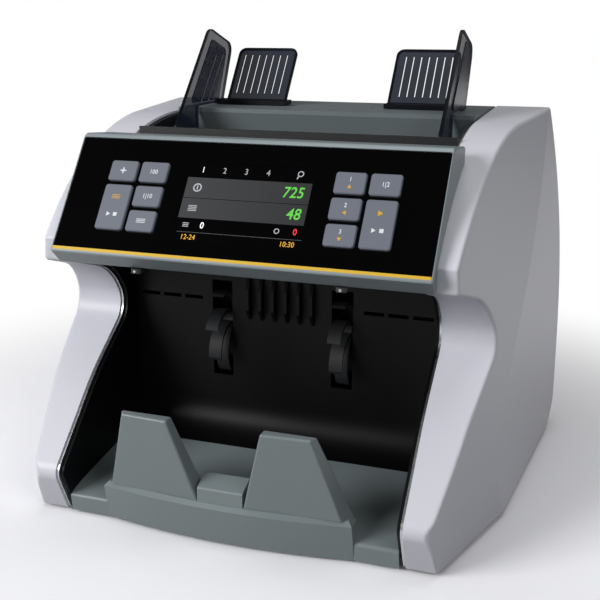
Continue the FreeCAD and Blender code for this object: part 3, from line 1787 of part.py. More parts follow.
def data_ports():
    """Two socket shells behind the rear wall."""
    sockets = []
    half_w = port_half_width - port_side_wall
    half_h = port_half_height - port_top_wall
    for x in port_places():
        shell = box(x - port_half_width, x + port_half_width, rear_y - port_depth, rear_y - fitting_sink,
                    port_z - port_half_height, port_z + port_half_height)
        well = box(x - half_w, x + half_w, rear_y - port_well_depth, rear_y, port_z - half_h, port_z + half_h)
        sockets.append(shell.cut(well))
    return Part.Compound(sockets)


def main_board():
    """Main circuit board on posts behind the rear wall, with its larger parts."""
    y = rear_y - main_board_depth
    front = y - board_thickness
    half = main_board_half_width
    pieces = [box(-half, half, front, y, drop(main_board_low_drop), drop(main_board_top_drop))]
    post_length = main_board_depth - skin_inset - rear_wall
    for x in (-half + main_post_inset, half - main_post_inset):
        for z in (drop(main_board_low_drop - main_post_inset), drop(main_board_top_drop + main_post_inset)):
            pieces.append(Part.makeCylinder(board_post_radius, post_length, V(x, y, z), V(0, 1, 0)))
    chip_z = drop(chip_drop)
    pieces.append(box(chip_x, chip_x + chip_width, front - chip_height, front, chip_z, chip_z + chip_width))
    plug_z = drop(plug_drop)
    for x, width in ((plug_x, plug_width), (second_plug_x, second_plug_width)):
        pieces.append(box(x, x + width, front - plug_height, front, plug_z, plug_z + plug_thickness))
    return fuse_all(pieces)


def power_supply():
    """Power supply board on posts over the base plate, with transformer, coils and a finned sink."""
    floor = foot_height + sheet_thickness
    low = floor + supply_post_height
    top = low + board_thickness
    y0 = depth(supply_depth)
    end_x = supply_x + supply_width
    pieces = [box(supply_x, end_x, y0, y0 + supply_length, low, top)]
    for x in (supply_x + supply_post_inset, end_x - supply_post_inset):
        for y in (y0 + supply_post_inset, y0 + supply_length - supply_post_inset):
            pieces.append(Part.makeCylinder(board_post_radius, supply_post_height, V(x, y, floor), Z_DIR))
    core_y = y0 + transformer_start
    pieces.append(box(transformer_x, transformer_x + transformer_width, core_y, core_y + transformer_length,
                      top, top + transformer_height))
    for x in (first_capacitor_x, second_capacitor_x):
        foot = V(x, y0 + capacitor_start, top)
        pieces.append(Part.makeCylinder(capacitor_radius, capacitor_height, foot, Z_DIR))
    sink_y = y0 + sink_start
    for index in range(sink_fin_count):
        x = sink_x + index * sink_fin_pitch
        pieces.append(box(x, x + sink_fin_thickness, sink_y, sink_y + sink_length,
                          top, top + sink_fin_height))
    return fuse_all(pieces)


def all_parts():
    """Every node of the machine by name."""
    shafts = shaft_places()
    motors = motor_places()
    cover = side_cover()
    liner = stacker_liner()
    right_paddle = paddle()
    left_guide, right_guide = note_guides()
    parts = {
        "base_plate": base_plate(),
        "rubber_feet": rubber_feet(),
        "left_frame_plate": mirrored(frame_plate(main_motor_depth, main_motor_drop)),
        "right_frame_plate": frame_plate(stacker_motor_depth, stacker_motor_drop),
        "frame_ties": frame_ties(),
        "left_side_cover": mirrored(cover),
        "right_side_cover": cover,
        "stacker_liners": Part.Compound([liner, mirrored(liner)]),
        "stacker_tray": stacker_tray(),
        "tray_block": front_block(),
        "left_paddle": mirrored(right_paddle),
        "right_paddle": right_paddle,
        "stacker_back_plate": back_plate(),
        "exit_hood": exit_hood(),
        "rear_path_guide": rear_path_guide(),
        "sensor_bars": Part.Compound([sensor_bar(low_sensor_angle), sensor_bar(rear_sensor_angle)]),
        "hopper_tub": hopper_tub(),
        "hopper_deck": hopper_deck(),
        "rack_tray": rack_tray(),
        "left_guide": left_guide,
        "right_guide": right_guide,
        "guide_pinion": guide_pinion(),
        "shaft_bearings": shaft_bearings(),
        "stacker_shaft": shaft_with_pulleys(shafts["stacker"], [(large_pulley_radius, 0, 1)]),
        "finger_wheels": finger_wheels(),
        "transport_shaft": shaft_with_pulleys(
            shafts["transport"], [(large_pulley_radius, 0, -1), (drive_pulley_radius, 0, 1)]),
        "transport_rollers": rollers(transport_radius, transport_spread(), shafts["transport"]),
        "feed_shaft": shaft_with_pulleys(
            shafts["feed"], [(drive_pulley_radius, 0, 1), (drive_pulley_radius, 1, 1)]),
        "feed_rollers": rollers(feed_radius, (-feed_x, feed_x), shafts["feed"]),
        "pickup_shaft": shaft_with_pulleys(shafts["pickup"], [(drive_pulley_radius, 1, 1)]),
        "pickup_rollers": rollers(pickup_radius, pickup_spread(), shafts["pickup"]),
        "drive_belts": drive_belts(),
        "main_motor": mirrored(motor_body(motors["main"], main_motor_radius, main_motor_length)),
        "main_motor_rotor": mirrored(motor_rotor(motors["main"], main_motor_length)),
        "stacker_motor": motor_body(motors["stacker"], stacker_motor_radius, stacker_motor_length),
        "stacker_motor_rotor": motor_rotor(motors["stacker"], stacker_motor_length),
        "head_housing": head_housing(),
        "head_back_cover": head_back_cover(),
        "panel_lens": panel_lens(),
        "accent_stripe": accent_stripe(),
        "display_module": display_module(),
        "keypad_board": keypad_board(),
        "head_latches": head_latches(),
        "hinge_pins": hinge_pins(),
        "rear_cover": rear_cover(),
        "power_inlet": power_inlet(),
        "power_rocker": power_rocker(),
        "data_ports": data_ports(),
        "main_board": main_board(),
        "power_supply": power_supply(),
    }
    for name, place in key_places().items():
        parts[name] = key(place)
    return parts


os.makedirs("parts", exist_ok=True)
for node, shape in all_parts().items():
    shape.exportStep("parts/" + node + ".step")
    print(node, len(shape.Solids), round(shape.Volume), shape.isValid(), shape.BoundBox)
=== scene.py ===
"""Looks of a table-top banknote counter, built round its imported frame."""

import logging
import math
from dataclasses import dataclass, field
from enum import Enum
from typing import Any, Callable, Dict, Iterable, List, Optional, Sequence, Tuple

import bmesh
import bpy
from mathutils import Matrix, Vector


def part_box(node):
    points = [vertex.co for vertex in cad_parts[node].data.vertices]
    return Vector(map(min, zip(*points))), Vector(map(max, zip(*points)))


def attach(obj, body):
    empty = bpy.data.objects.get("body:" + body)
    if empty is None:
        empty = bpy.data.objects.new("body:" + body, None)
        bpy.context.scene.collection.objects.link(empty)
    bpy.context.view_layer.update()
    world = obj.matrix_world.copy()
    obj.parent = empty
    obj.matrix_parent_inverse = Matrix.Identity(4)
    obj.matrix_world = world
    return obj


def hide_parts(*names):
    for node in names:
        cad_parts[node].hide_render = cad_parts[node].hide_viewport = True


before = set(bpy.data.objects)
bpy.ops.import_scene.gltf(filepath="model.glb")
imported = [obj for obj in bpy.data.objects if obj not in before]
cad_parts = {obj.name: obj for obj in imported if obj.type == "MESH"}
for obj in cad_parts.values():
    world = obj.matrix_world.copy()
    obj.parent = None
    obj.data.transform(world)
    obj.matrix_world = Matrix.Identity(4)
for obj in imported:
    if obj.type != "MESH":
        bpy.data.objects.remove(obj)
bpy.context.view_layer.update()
NODES: Dict[str, bpy.types.Object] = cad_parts
MM = 0.001
MERGE_GAP = 0.001 * MM
LOG = logging.getLogger("banknote_counter")

Colour = Tuple[float, float, float]
Point = Tuple[float, float]
Triple = Tuple[float, float, float]


def srgb(red: int, green: int, blue: int) -> Colour:
    """Turns eight-bit screen values into a linear colour.

    Args:
        red: Red, from 0 to 255.
        green: Green, from 0 to 255.
        blue: Blue, from 0 to 255.

    Returns:
        The linear colour.
    """
    def linear(value: int) -> float:
        """One channel, linear."""
        share = value / 255
        return share / 12.92 if share <= 0.04045 else ((share + 0.055) / 1.055) ** 2.4

    return linear(red), linear(green), linear(blue)


class Signal:
    """A socket's value that arithmetic can be written on."""

    def __init__(self, sheet: "NodeSheet", socket: bpy.types.NodeSocket) -> None:
        """Keeps the sheet and the socket that the value comes from."""
        self.sheet = sheet
        self.socket = socket

    def calc(self, operation: str, first: Any, second: Any = 0.0) -> "Signal":
        """Adds one Math node.

        Args:
            operation: Name of the Math node's operation.
            first: First number or signal.
            second: Second number or signal.

        Returns:
            The result.
        """
        return self.sheet.add("ShaderNodeMath", {"operation": operation}, {0: first, 1: second})

    def __add__(self, other: Any) -> "Signal":
        """Sum."""
        return self.calc("ADD", self, other)

    def __sub__(self, other: Any) -> "Signal":
        """Difference."""
        return self.calc("SUBTRACT", self, other)

    def __rsub__(self, other: Any) -> "Signal":
        """Difference from a number in front."""
        return self.calc("SUBTRACT", other, self)

    def __mul__(self, other: Any) -> "Signal":
        """Product."""
        return self.calc("MULTIPLY", self, other)

    def __truediv__(self, other: Any) -> "Signal":
        """Quotient."""
        return self.calc("DIVIDE", self, other)

    def __gt__(self, other: Any) -> "Signal":
        """One where this is greater, otherwise zero."""
        return self.calc("GREATER_THAN", self, other)

    def __lt__(self, other: Any) -> "Signal":
        """One where this is less, otherwise zero."""
        return self.calc("LESS_THAN", self, other)

    def wave(self) -> "Signal":
        """Sine."""
        return self.calc("SINE", self)

    __radd__ = __add__
    __rmul__ = __mul__


class NodeSheet:
    """Adds nodes to one tree."""

    def __init__(self, tree: bpy.types.NodeTree) -> None:
        """Keeps the tree."""
        self.tree = tree

    def add(self, kind: str, settings: Dict[str, Any], inputs: Dict[Any, Any], output: Any = 0) -> Signal:
        """Adds a node, sets it up and feeds its sockets.

        Args:
            kind: Type of the node.
            settings: Properties of the node.
            inputs: Values, or signals to link, by socket name or number.
            output: Name or number of the socket that is handed back.

        Returns:
            The chosen output.
        """
        node = self.tree.nodes.new(kind)
        for name, value in settings.items():
            setattr(node, name, value)
        self.fill(node, inputs)
        return Signal(self, node.outputs[output])

    def fill(self, node: bpy.types.Node, inputs: Dict[Any, Any]) -> None:
        """Links signals to a node's sockets, or sets the sockets' own values.

        Args:
            node: The node.
            inputs: A signal, a list of signals, a number or a colour, by socket name or number.
        """
        for key, value in inputs.items():
            socket = node.inputs[key]
            if isinstance(value, (Signal, list)):
                for each in value if isinstance(value, list) else [value]:
                    self.tree.links.new(each.socket, socket)
            elif socket.type == "RGBA" and len(value) == 3:
                socket.default_value = (*value, 1.0)
            else:
                socket.default_value = value

    def place(self) -> Signal:
        """Point on the surface, in metres."""
        return self.add("ShaderNodeTexCoord", {}, {}, "Object")

    def axes(self, place: Signal) -> List[Signal]:
        """The three parts of a vector."""
        first = self.add("ShaderNodeSeparateXYZ", {}, {0: place})
        return [Signal(self, socket) for socket in first.socket.node.outputs]

    def stretched(self, place: Signal, scale: Triple) -> Signal:
        """The place with each of its axes scaled."""
        return self.add("ShaderNodeVectorMath", {"operation": "MULTIPLY"}, {0: place, 1: scale})

    def noise(self, place: Signal, scale: float, detail: float = 2.0) -> Signal:
        """Soft noise from about 0 to 1."""
        return self.add("ShaderNodeTexNoise", {}, {"Vector": place, "Scale": scale, "Detail": detail})

    def vary(self, middle: float, *parts: Tuple[Signal, float]) -> Signal:
        """A value that noise moves to both sides of its middle.

        Args:
            middle: The value where every noise is half way.
            parts: Each noise with its spread.

        Returns:
            The value.
        """
        total: Any = middle
        for noise, spread in parts:
            total = (noise - 0.5) * spread + total
        return total

    def tint(self, colour: Any, tone: Signal) -> Signal:
        """A colour made lighter or darker by a factor."""
        return self.add("ShaderNodeVectorMath", {"operation": "SCALE"}, {0: colour, "Scale": tone})

    def mix(self, share: Any, first: Any, second: Any) -> Signal:
        """Two colours mixed by a share."""
        return self.add("ShaderNodeMix", {"data_type": "RGBA"}, {0: share, 6: first, 7: second}, 2)

    def band(self, value: Signal, low: float, high: float) -> Signal:
        """One between two limits and zero outside."""
        return (value > low) * (value < high)

    def along(self, place: Signal, origin: Vector, way: Vector) -> Signal:
        """Distance of the place from an origin along one direction."""
        offset = self.add("ShaderNodeVectorMath", {"operation": "SUBTRACT"}, {0: place, 1: origin})
        return self.add("ShaderNodeVectorMath", {"operation": "DOT_PRODUCT"}, {0: offset, 1: way}, "Value")

    def bump(self, height: Signal, depth: float, strength: float) -> Signal:
        """Normal of a surface with a relief of a depth in metres, of which a share shows."""
        return self.add("ShaderNodeBump", {}, {"Strength": strength, "Distance": depth, "Height": height})


@dataclass(frozen=True)
class Finish:
    """A surface finish that becomes one material; scales are in repeats per metre."""

    name: str

    def material(self) -> bpy.types.Material:
        """The finish's material, made at its first use.

        Returns:
            The material.
        """
        known = bpy.data.materials.get(self.name)
        if known is not None:
            return known
        made = bpy.data.materials.new(self.name)
        made.use_nodes = True
        sheet = NodeSheet(made.node_tree)
        sheet.fill(made.node_tree.nodes["Principled BSDF"], self.sockets(sheet))
        return made

    def sockets(self, sheet: NodeSheet) -> Dict[str, Any]:
        """What feeds the surface shader.

        Args:
            sheet: The material's nodes.

        Returns:
            Values and signals by socket name.
        """
        raise NotImplementedError


@dataclass(frozen=True)
class GrainedPlastic(Finish):
    """Moulded plastic with a fine spark-eroded grain."""

    colour: Colour
    roughness: float = 0.45
    grain: float = 0.45 * MM
    relief: float = 0.03 * MM
    relief_share: float = 0.6
    speckle: float = 0.06
    cloud: float = 0.05
    cloud_scale: float = 16.0
    rough_grain: float = 0.18
    rough_cloud: float = 0.08
    gloss: float = 0.5

    def sockets(self, sheet: NodeSheet) -> Dict[str, Any]:
        """Grain in colour, roughness and relief, over a faint cloudiness.

        Args:
            sheet: The material's nodes.

        Returns:
            Values and signals by socket name.
        """
        place = sheet.place()
        grain = sheet.noise(place, 1 / self.grain)
        cloud = sheet.noise(place, self.cloud_scale, detail=3.0)
        tone = sheet.vary(1.0, (grain, self.speckle), (cloud, self.cloud))
        return {
            "Base Color": sheet.tint(self.hue(sheet, place), tone),
            "Roughness": sheet.vary(self.roughness, (grain, self.rough_grain), (cloud, self.rough_cloud)),
            "Normal": sheet.bump(grain, self.relief, self.relief_share),
            "Specular IOR Level": self.gloss,
        }

    def hue(self, sheet: NodeSheet, place: Signal) -> Any:
        """Colour under the grain."""
        return self.colour


@dataclass(frozen=True)
class GlossAcrylic(Finish):
    """Polished acrylic with faint wipe marks."""

    colour: Colour
    roughness: float = 0.08
    gloss: float = 0.25
    wipe_scale: Triple = (30.0, 160.0, 160.0)
    wipe_roughness: float = 0.12
    haze_scale: float = 22.0
    haze: float = 0.5

    def sockets(self, sheet: NodeSheet) -> Dict[str, Any]:
        """Smooth colour with wipe marks in the roughness.

        Args:
            sheet: The material's nodes.

        Returns:
            Values and signals by socket name.
        """
        place = sheet.place()
        wipes = sheet.noise(sheet.stretched(place, self.wipe_scale), 1.0, detail=4.0)
        haze = sheet.noise(place, self.haze_scale, detail=3.0)
        return {
            "Base Color": sheet.tint(self.colour, sheet.vary(1.0, (haze, self.haze))),
            "Roughness": wipes * haze * self.wipe_roughness + self.roughness,
            "Specular IOR Level": self.gloss,
        }


@dataclass(frozen=True)
class SmokedSheet(Finish):
    """Smoky see-through plastic."""

    colour: Colour
    alpha: float
    gloss: float = 0.3
    roughness: float = 0.22
    flow_scale: Triple = (40.0, 40.0, 12.0)
    flow: float = 0.5
    rough_flow: float = 0.1
    scuff_scale: float = 900.0
    rough_scuff: float = 0.14

    def sockets(self, sheet: NodeSheet) -> Dict[str, Any]:
        """Dark gloss with faint flow lines.

        Args:
            sheet: The material's nodes.

        Returns:
            Values and signals by socket name.
        """
        place = sheet.place()
        flow = sheet.noise(sheet.stretched(place, self.flow_scale), 1.0, detail=3.0)
        scuff = sheet.noise(place, self.scuff_scale)
        return {
            "Base Color": sheet.tint(self.colour, sheet.vary(1.0, (flow, self.flow))),
            "Roughness": sheet.vary(self.roughness, (scuff, self.rough_scuff), (flow, self.rough_flow)),
            "Alpha": self.alpha,
            "Specular IOR Level": self.gloss,
        }


@dataclass(frozen=True)
class BrushedMetal(Finish):
    """Metal with fine brush lines along one axis."""

    colour: Colour
    roughness: float = 0.32
    line_scale: Triple = (60.0, 2600.0, 2600.0)
    cloud_scale: float = 40.0
    tones: Point = (0.25, 0.15)
    rough_tones: Point = (0.2, 0.1)
    relief: float = 0.01 * MM
    relief_share: float = 0.4

    def sockets(self, sheet: NodeSheet) -> Dict[str, Any]:
        """Brush lines in colour, roughness and relief, over faint clouds.

        Args:
            sheet: The material's nodes.

        Returns:
            Values and signals by socket name.
        """
        place = sheet.place()
        lines = sheet.noise(sheet.stretched(place, self.line_scale), 1.0, detail=3.0)
        cloud = sheet.noise(place, self.cloud_scale)
        return {
            "Base Color": sheet.tint(self.colour, sheet.vary(1.0, *zip((lines, cloud), self.tones))),
            "Roughness": sheet.vary(self.roughness, *zip((lines, cloud), self.rough_tones)),
            "Normal": sheet.bump(lines, self.relief, self.relief_share),
            "Metallic": 1.0,
        }


@dataclass(frozen=True)
class ZincSheet(Finish):
    """Galvanised sheet with large faint crystals."""

    colour: Colour
    crystal: float = 9.0 * MM
    tone: float = 0.98
    tones: Point = (0.22, 0.1)
    roughness: float = 0.4
    rough_tones: Point = (0.16, 0.12)
    fine_scale: float = 700.0

    def sockets(self, sheet: NodeSheet) -> Dict[str, Any]:
        """Crystal cells with their own tone, and a fine grain.

        Args:
            sheet: The material's nodes.

        Returns:
            Values and signals by socket name.
        """
        place = sheet.place()
        cells = sheet.add("ShaderNodeTexVoronoi", {}, {"Vector": place, "Scale": 1 / self.crystal}, "Color")
        noises = (sheet.axes(cells)[0], sheet.noise(place, self.fine_scale))
        return {
            "Base Color": sheet.tint(self.colour, sheet.vary(self.tone, *zip(noises, self.tones))),
            "Roughness": sheet.vary(self.roughness, *zip(noises, self.rough_tones)),
            "Metallic": 1.0,
        }


@dataclass(frozen=True)
class Rubber(Finish):
    """Matt rubber with a dusty grain."""

    colour: Colour
    roughness: float = 0.775
    rough_grain: float = 0.15
    grain_scale: float = 2400.0
    grain: float = 0.3
    dust_scale: float = 90.0
    dust: float = 0.7
    relief: float = 0.04 * MM
    relief_share: float = 0.5
    gloss: float = 0.3

    def sockets(self, sheet: NodeSheet) -> Dict[str, Any]:
        """Fine grain with paler dust.

        Args:
            sheet: The material's nodes.

        Returns:
            Values and signals by socket name.
        """
        place = sheet.place()
        grain = sheet.noise(place, self.grain_scale)
        dust = sheet.noise(place, self.dust_scale, detail=4.0)
        tone = sheet.vary(1.0, (grain, self.grain), (dust, self.dust))
        return {
            "Base Color": sheet.tint(self.colour, tone),
            "Roughness": sheet.vary(self.roughness, (grain, self.rough_grain)),
            "Normal": sheet.bump(grain, self.relief, self.relief_share),
            "Specular IOR Level": self.gloss,
        }


@dataclass(frozen=True)
class CircuitMask(Finish):
    """Circuit board with solder mask and tracks."""

    mask: Colour
    track: Colour
    pitch: float = 2.4 * MM
    track_width: float = 0.06
    track_offset: float = 0.37
    track_length: float = 1.6
    patch_scale: float = 140.0
    patch_level: float = 0.45
    roughness: float = 0.375
    rough_grain: float = 0.15
    grain_scale: float = 800.0
    relief: float = 0.03 * MM
    relief_share: float = 0.6

    def sockets(self, sheet: NodeSheet) -> Dict[str, Any]:
        """Tracks along the edges of a fine brick pattern.

        Args:
            sheet: The material's nodes.

        Returns:
            Values and signals by socket name.
        """
        place = sheet.place()
        settings = {"offset": self.track_offset, "squash": self.track_length}
        bricks = sheet.add("ShaderNodeTexBrick", settings, {
            "Vector": place, "Scale": 1 / self.pitch, "Color1": (0.0, 0.0, 0.0), "Color2": (0.1, 0.1, 0.1),
            "Mortar": (1.0, 1.0, 1.0), "Mortar Size": self.track_width, "Brick Width": self.track_length,
            "Row Height": 0.5})
        tracks = sheet.axes(bricks)[0] * (sheet.noise(place, self.patch_scale, detail=1.0) > self.patch_level)
        grain = sheet.noise(place, self.grain_scale)
        return {
            "Base Color": sheet.mix(tracks, self.mask, self.track),
            "Roughness": sheet.vary(self.roughness, (grain, self.rough_grain)),
            "Normal": sheet.bump(tracks, self.relief, self.relief_share),
        }


@dataclass(frozen=True)
class Ink(Finish):
    """Printed mark, or a lit mark where it glows."""

    colour: Colour
    glow: float = 0.0
    dot_scale: float = 3500.0
    dots: float = 0.16
    roughness: float = 0.5
    rough_grain: float = 0.2
    grain_scale: float = 1800.0

    def sockets(self, sheet: NodeSheet) -> Dict[str, Any]:
        """Even colour with the faint dots of a screen print.

        Args:
            sheet: The material's nodes.

        Returns:
            Values and signals by socket name.
        """
        place = sheet.place()
        dots = sheet.noise(place, self.dot_scale, detail=1.0)
        grain = sheet.noise(place, self.grain_scale)
        colour = sheet.tint(self.colour, sheet.vary(1.0, (dots, self.dots)))
        fed = {"Base Color": colour, "Roughness": sheet.vary(self.roughness, (grain, self.rough_grain))}
        if self.glow > 0:
            fed.update({"Emission Color": colour, "Emission Strength": self.glow})
        return fed


class InkTone(Enum):
    """Colours of the marks on keys and screen."""

    KEY_WHITE = Ink("ink_key_white", srgb(232, 234, 238))
    KEY_GOLD = Ink("ink_key_gold", srgb(226, 172, 48))
    LIT_WHITE = Ink("ink_lit_white", srgb(222, 224, 228), 0.8)
    LIT_GREY = Ink("ink_lit_grey", srgb(150, 152, 156), 0.7)
    LIT_GREEN = Ink("ink_lit_green", srgb(86, 186, 60), 0.5)
    LIT_RED = Ink("ink_lit_red", srgb(216, 40, 44), 0.6)
    LIT_GOLD = Ink("ink_lit_gold", srgb(222, 164, 40), 0.5)
    LIT_RULE = Ink("ink_lit_rule", srgb(74, 75, 78), 0.5)


class Heading(Enum):
    """Directions of an arrow on a key, as a turn in degrees from pointing right."""

    RIGHT = 0
    UP = 90
    LEFT = 180
    DOWN = 270


@dataclass(frozen=True)
class PanelPlane:
    """The sloping plane of the control panel, in metres."""

    origin: Vector
    up: Vector
    out: Vector

    @classmethod
    def of_node(cls, node: str, tilt: float) -> "PanelPlane":
        """Finds the plane from the lens.

        Args:
            node: Name of the lens node.
            tilt: Lean of the panel from upright, in radians.

        Returns:
            The plane, with its origin in the middle of the lens's lower front edge.
        """
        up = Vector((0.0, math.sin(tilt), math.cos(tilt)))
        out = Vector((0.0, -math.cos(tilt), math.sin(tilt)))
        corners = [vertex.co for vertex in NODES[node].data.vertices]
        low = min(up.dot(corner) for corner in corners)
        front = max(out.dot(corner) for corner in corners)
        return cls(up * low + out * front, up, out)

    def matrix(self, across: float, up: float, out: float) -> Matrix:
        """Placement of panel measures at a point of the panel.

        Args:
            across: The point's place to the right.
            up: Its place up the slope.
            out: Its height over the lens.

        Returns:
            The placement.
        """
        point = self.origin + Vector((across, 0.0, 0.0)) + self.up * up + self.out * out
        columns = Matrix((Vector((1.0, 0.0, 0.0)), self.up, self.out)).transposed()
        return Matrix.Translation(point) @ columns.to_4x4()

    def top_of(self, node: str) -> Triple:
        """Where the top of a node lies on the panel.

        Args:
            node: Name of the node.

        Returns:
            Its middle across, its middle up the slope and its highest point.
        """
        corners = [vertex.co - self.origin for vertex in NODES[node].data.vertices]
        across = [corner.x for corner in corners]
        ups = [corner.dot(self.up) for corner in corners]
        outs = [corner.dot(self.out) for corner in corners]
        return (min(across) + max(across)) / 2, (min(ups) + max(ups)) / 2, max(outs)


@dataclass(frozen=True)
class GrainedPlasticWithPaintedHighlight(GrainedPlastic):
    """Moulded plastic with a painted highlight: its face round the panel is made paler so that it looks lit.
    """

    # face is the painted highlight colour of the front face round the panel
    face: Colour = srgb(148, 159, 163)
    plane: Optional[PanelPlane] = None
    level: float = 0.0

    def hue(self, sheet: NodeSheet, place: Signal) -> Any:
        """Painted highlight: pale in front of the level, plain behind it."""
        out = sheet.along(place, self.plane.origin, self.plane.out)
        return sheet.mix(out > self.level, self.colour, self.face)


@dataclass(frozen=True)
class LitScreen(Finish):
    """Lit screen with two shaded rows, laid out up the panel's slope from the screen's middle."""

    plane: PanelPlane
    middle: float
    low_row: Point = (-9.6 * MM, 2.0 * MM)
    high_row: Point = (2.3 * MM, 14.4 * MM)
    row_half_width: float = 35.4 * MM
    row_colour: Colour = srgb(72, 73, 75)
    row_tone: float = 0.85
    row_fade: float = 0.2
    dark: Colour = srgb(4, 4, 5)
    dark_tone: Point = (30.0, 0.4)
    pixel: float = 0.3 * MM
    pixel_depth: float = 0.04
    roughness: float = 0.13
    rough_wipe: Point = (60.0, 0.1)
    gloss: float = 0.12

    def sockets(self, sheet: NodeSheet) -> Dict[str, Any]:
        """Rows that darken towards the right, with a fine pixel grid.

        Args:
            sheet: The material's nodes.

        Returns:
            Values and signals by socket name.
        """
        place = sheet.place()
        across = sheet.axes(place)[0]
        up = sheet.along(place, self.plane.origin, self.plane.up) - self.middle
        rows = sheet.band(up, *self.low_row) + sheet.band(up, *self.high_row)
        rows = rows * sheet.band(across, -self.row_half_width, self.row_half_width)
        fade = self.row_tone - across * (self.row_fade / self.row_half_width)
        turn = 2 * math.pi / self.pixel
        lines = ((up * turn).wave() + (across * turn).wave() - 1.0) * self.pixel_depth + 1.0
        (dark_scale, dark_spread), (wipe_scale, wipe_spread) = self.dark_tone, self.rough_wipe
        tone = sheet.vary(1.0, (sheet.noise(place, dark_scale), dark_spread))
        wipes = sheet.noise(place, wipe_scale, detail=4.0)
        return {
            "Base Color": sheet.tint(self.dark, tone),
            "Emission Color": sheet.tint(self.row_colour, rows * fade * lines),
            "Emission Strength": 1.0,
            "Roughness": sheet.vary(self.roughness, (wipes, wipe_spread)),
            "Specular IOR Level": self.gloss,
        }


def place_piece(name: str, data: bpy.types.Mesh, body: str) -> bpy.types.Object:
    """Puts a finished mesh in the scene on a body.

    Args:
        name: Name of the piece.
        data: Its mesh, with its place in its vertices.
        body: Body that it moves with.

    Returns:
        The piece.
    """
    piece = bpy.data.objects.new(name, data)
    bpy.context.scene.collection.objects.link(piece)
    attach(piece, body)
    LOG.info("made %s on %s", name, body)
    return piece


def dress(nodes: Iterable[str], finish: Finish) -> None:
    """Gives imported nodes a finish.

    Args:
        nodes: Names of the nodes.
        finish: Their finish.
    """
    for name in nodes:
        data = NODES[name].data
        data.materials.clear()
        data.materials.append(finish.material())
        LOG.info("dressed %s in %s", name, finish.name)


def add_curve(mesh: bmesh.types.BMesh, curve: bpy.types.Curve, place: Matrix,
              slot_of: Callable[[bpy.types.MeshPolygon], int]) -> None:
    """Adds the faces of a flat curve to a mesh and removes the curve.

    Args:
        mesh: The mesh that takes the faces.
        curve: The curve.
        place: Placement of the curve.
        slot_of: Gives the material slot of a face in the curve's own plane.
    """
    carrier = bpy.data.objects.new(curve.name, curve)
    made = bpy.data.meshes.new_from_object(carrier)
    for face in made.polygons:
        face.material_index = slot_of(face)
    made.transform(place)
    mesh.from_mesh(made)
    bpy.data.objects.remove(carrier)
    bpy.data.curves.remove(curve)
    bpy.data.meshes.remove(made)


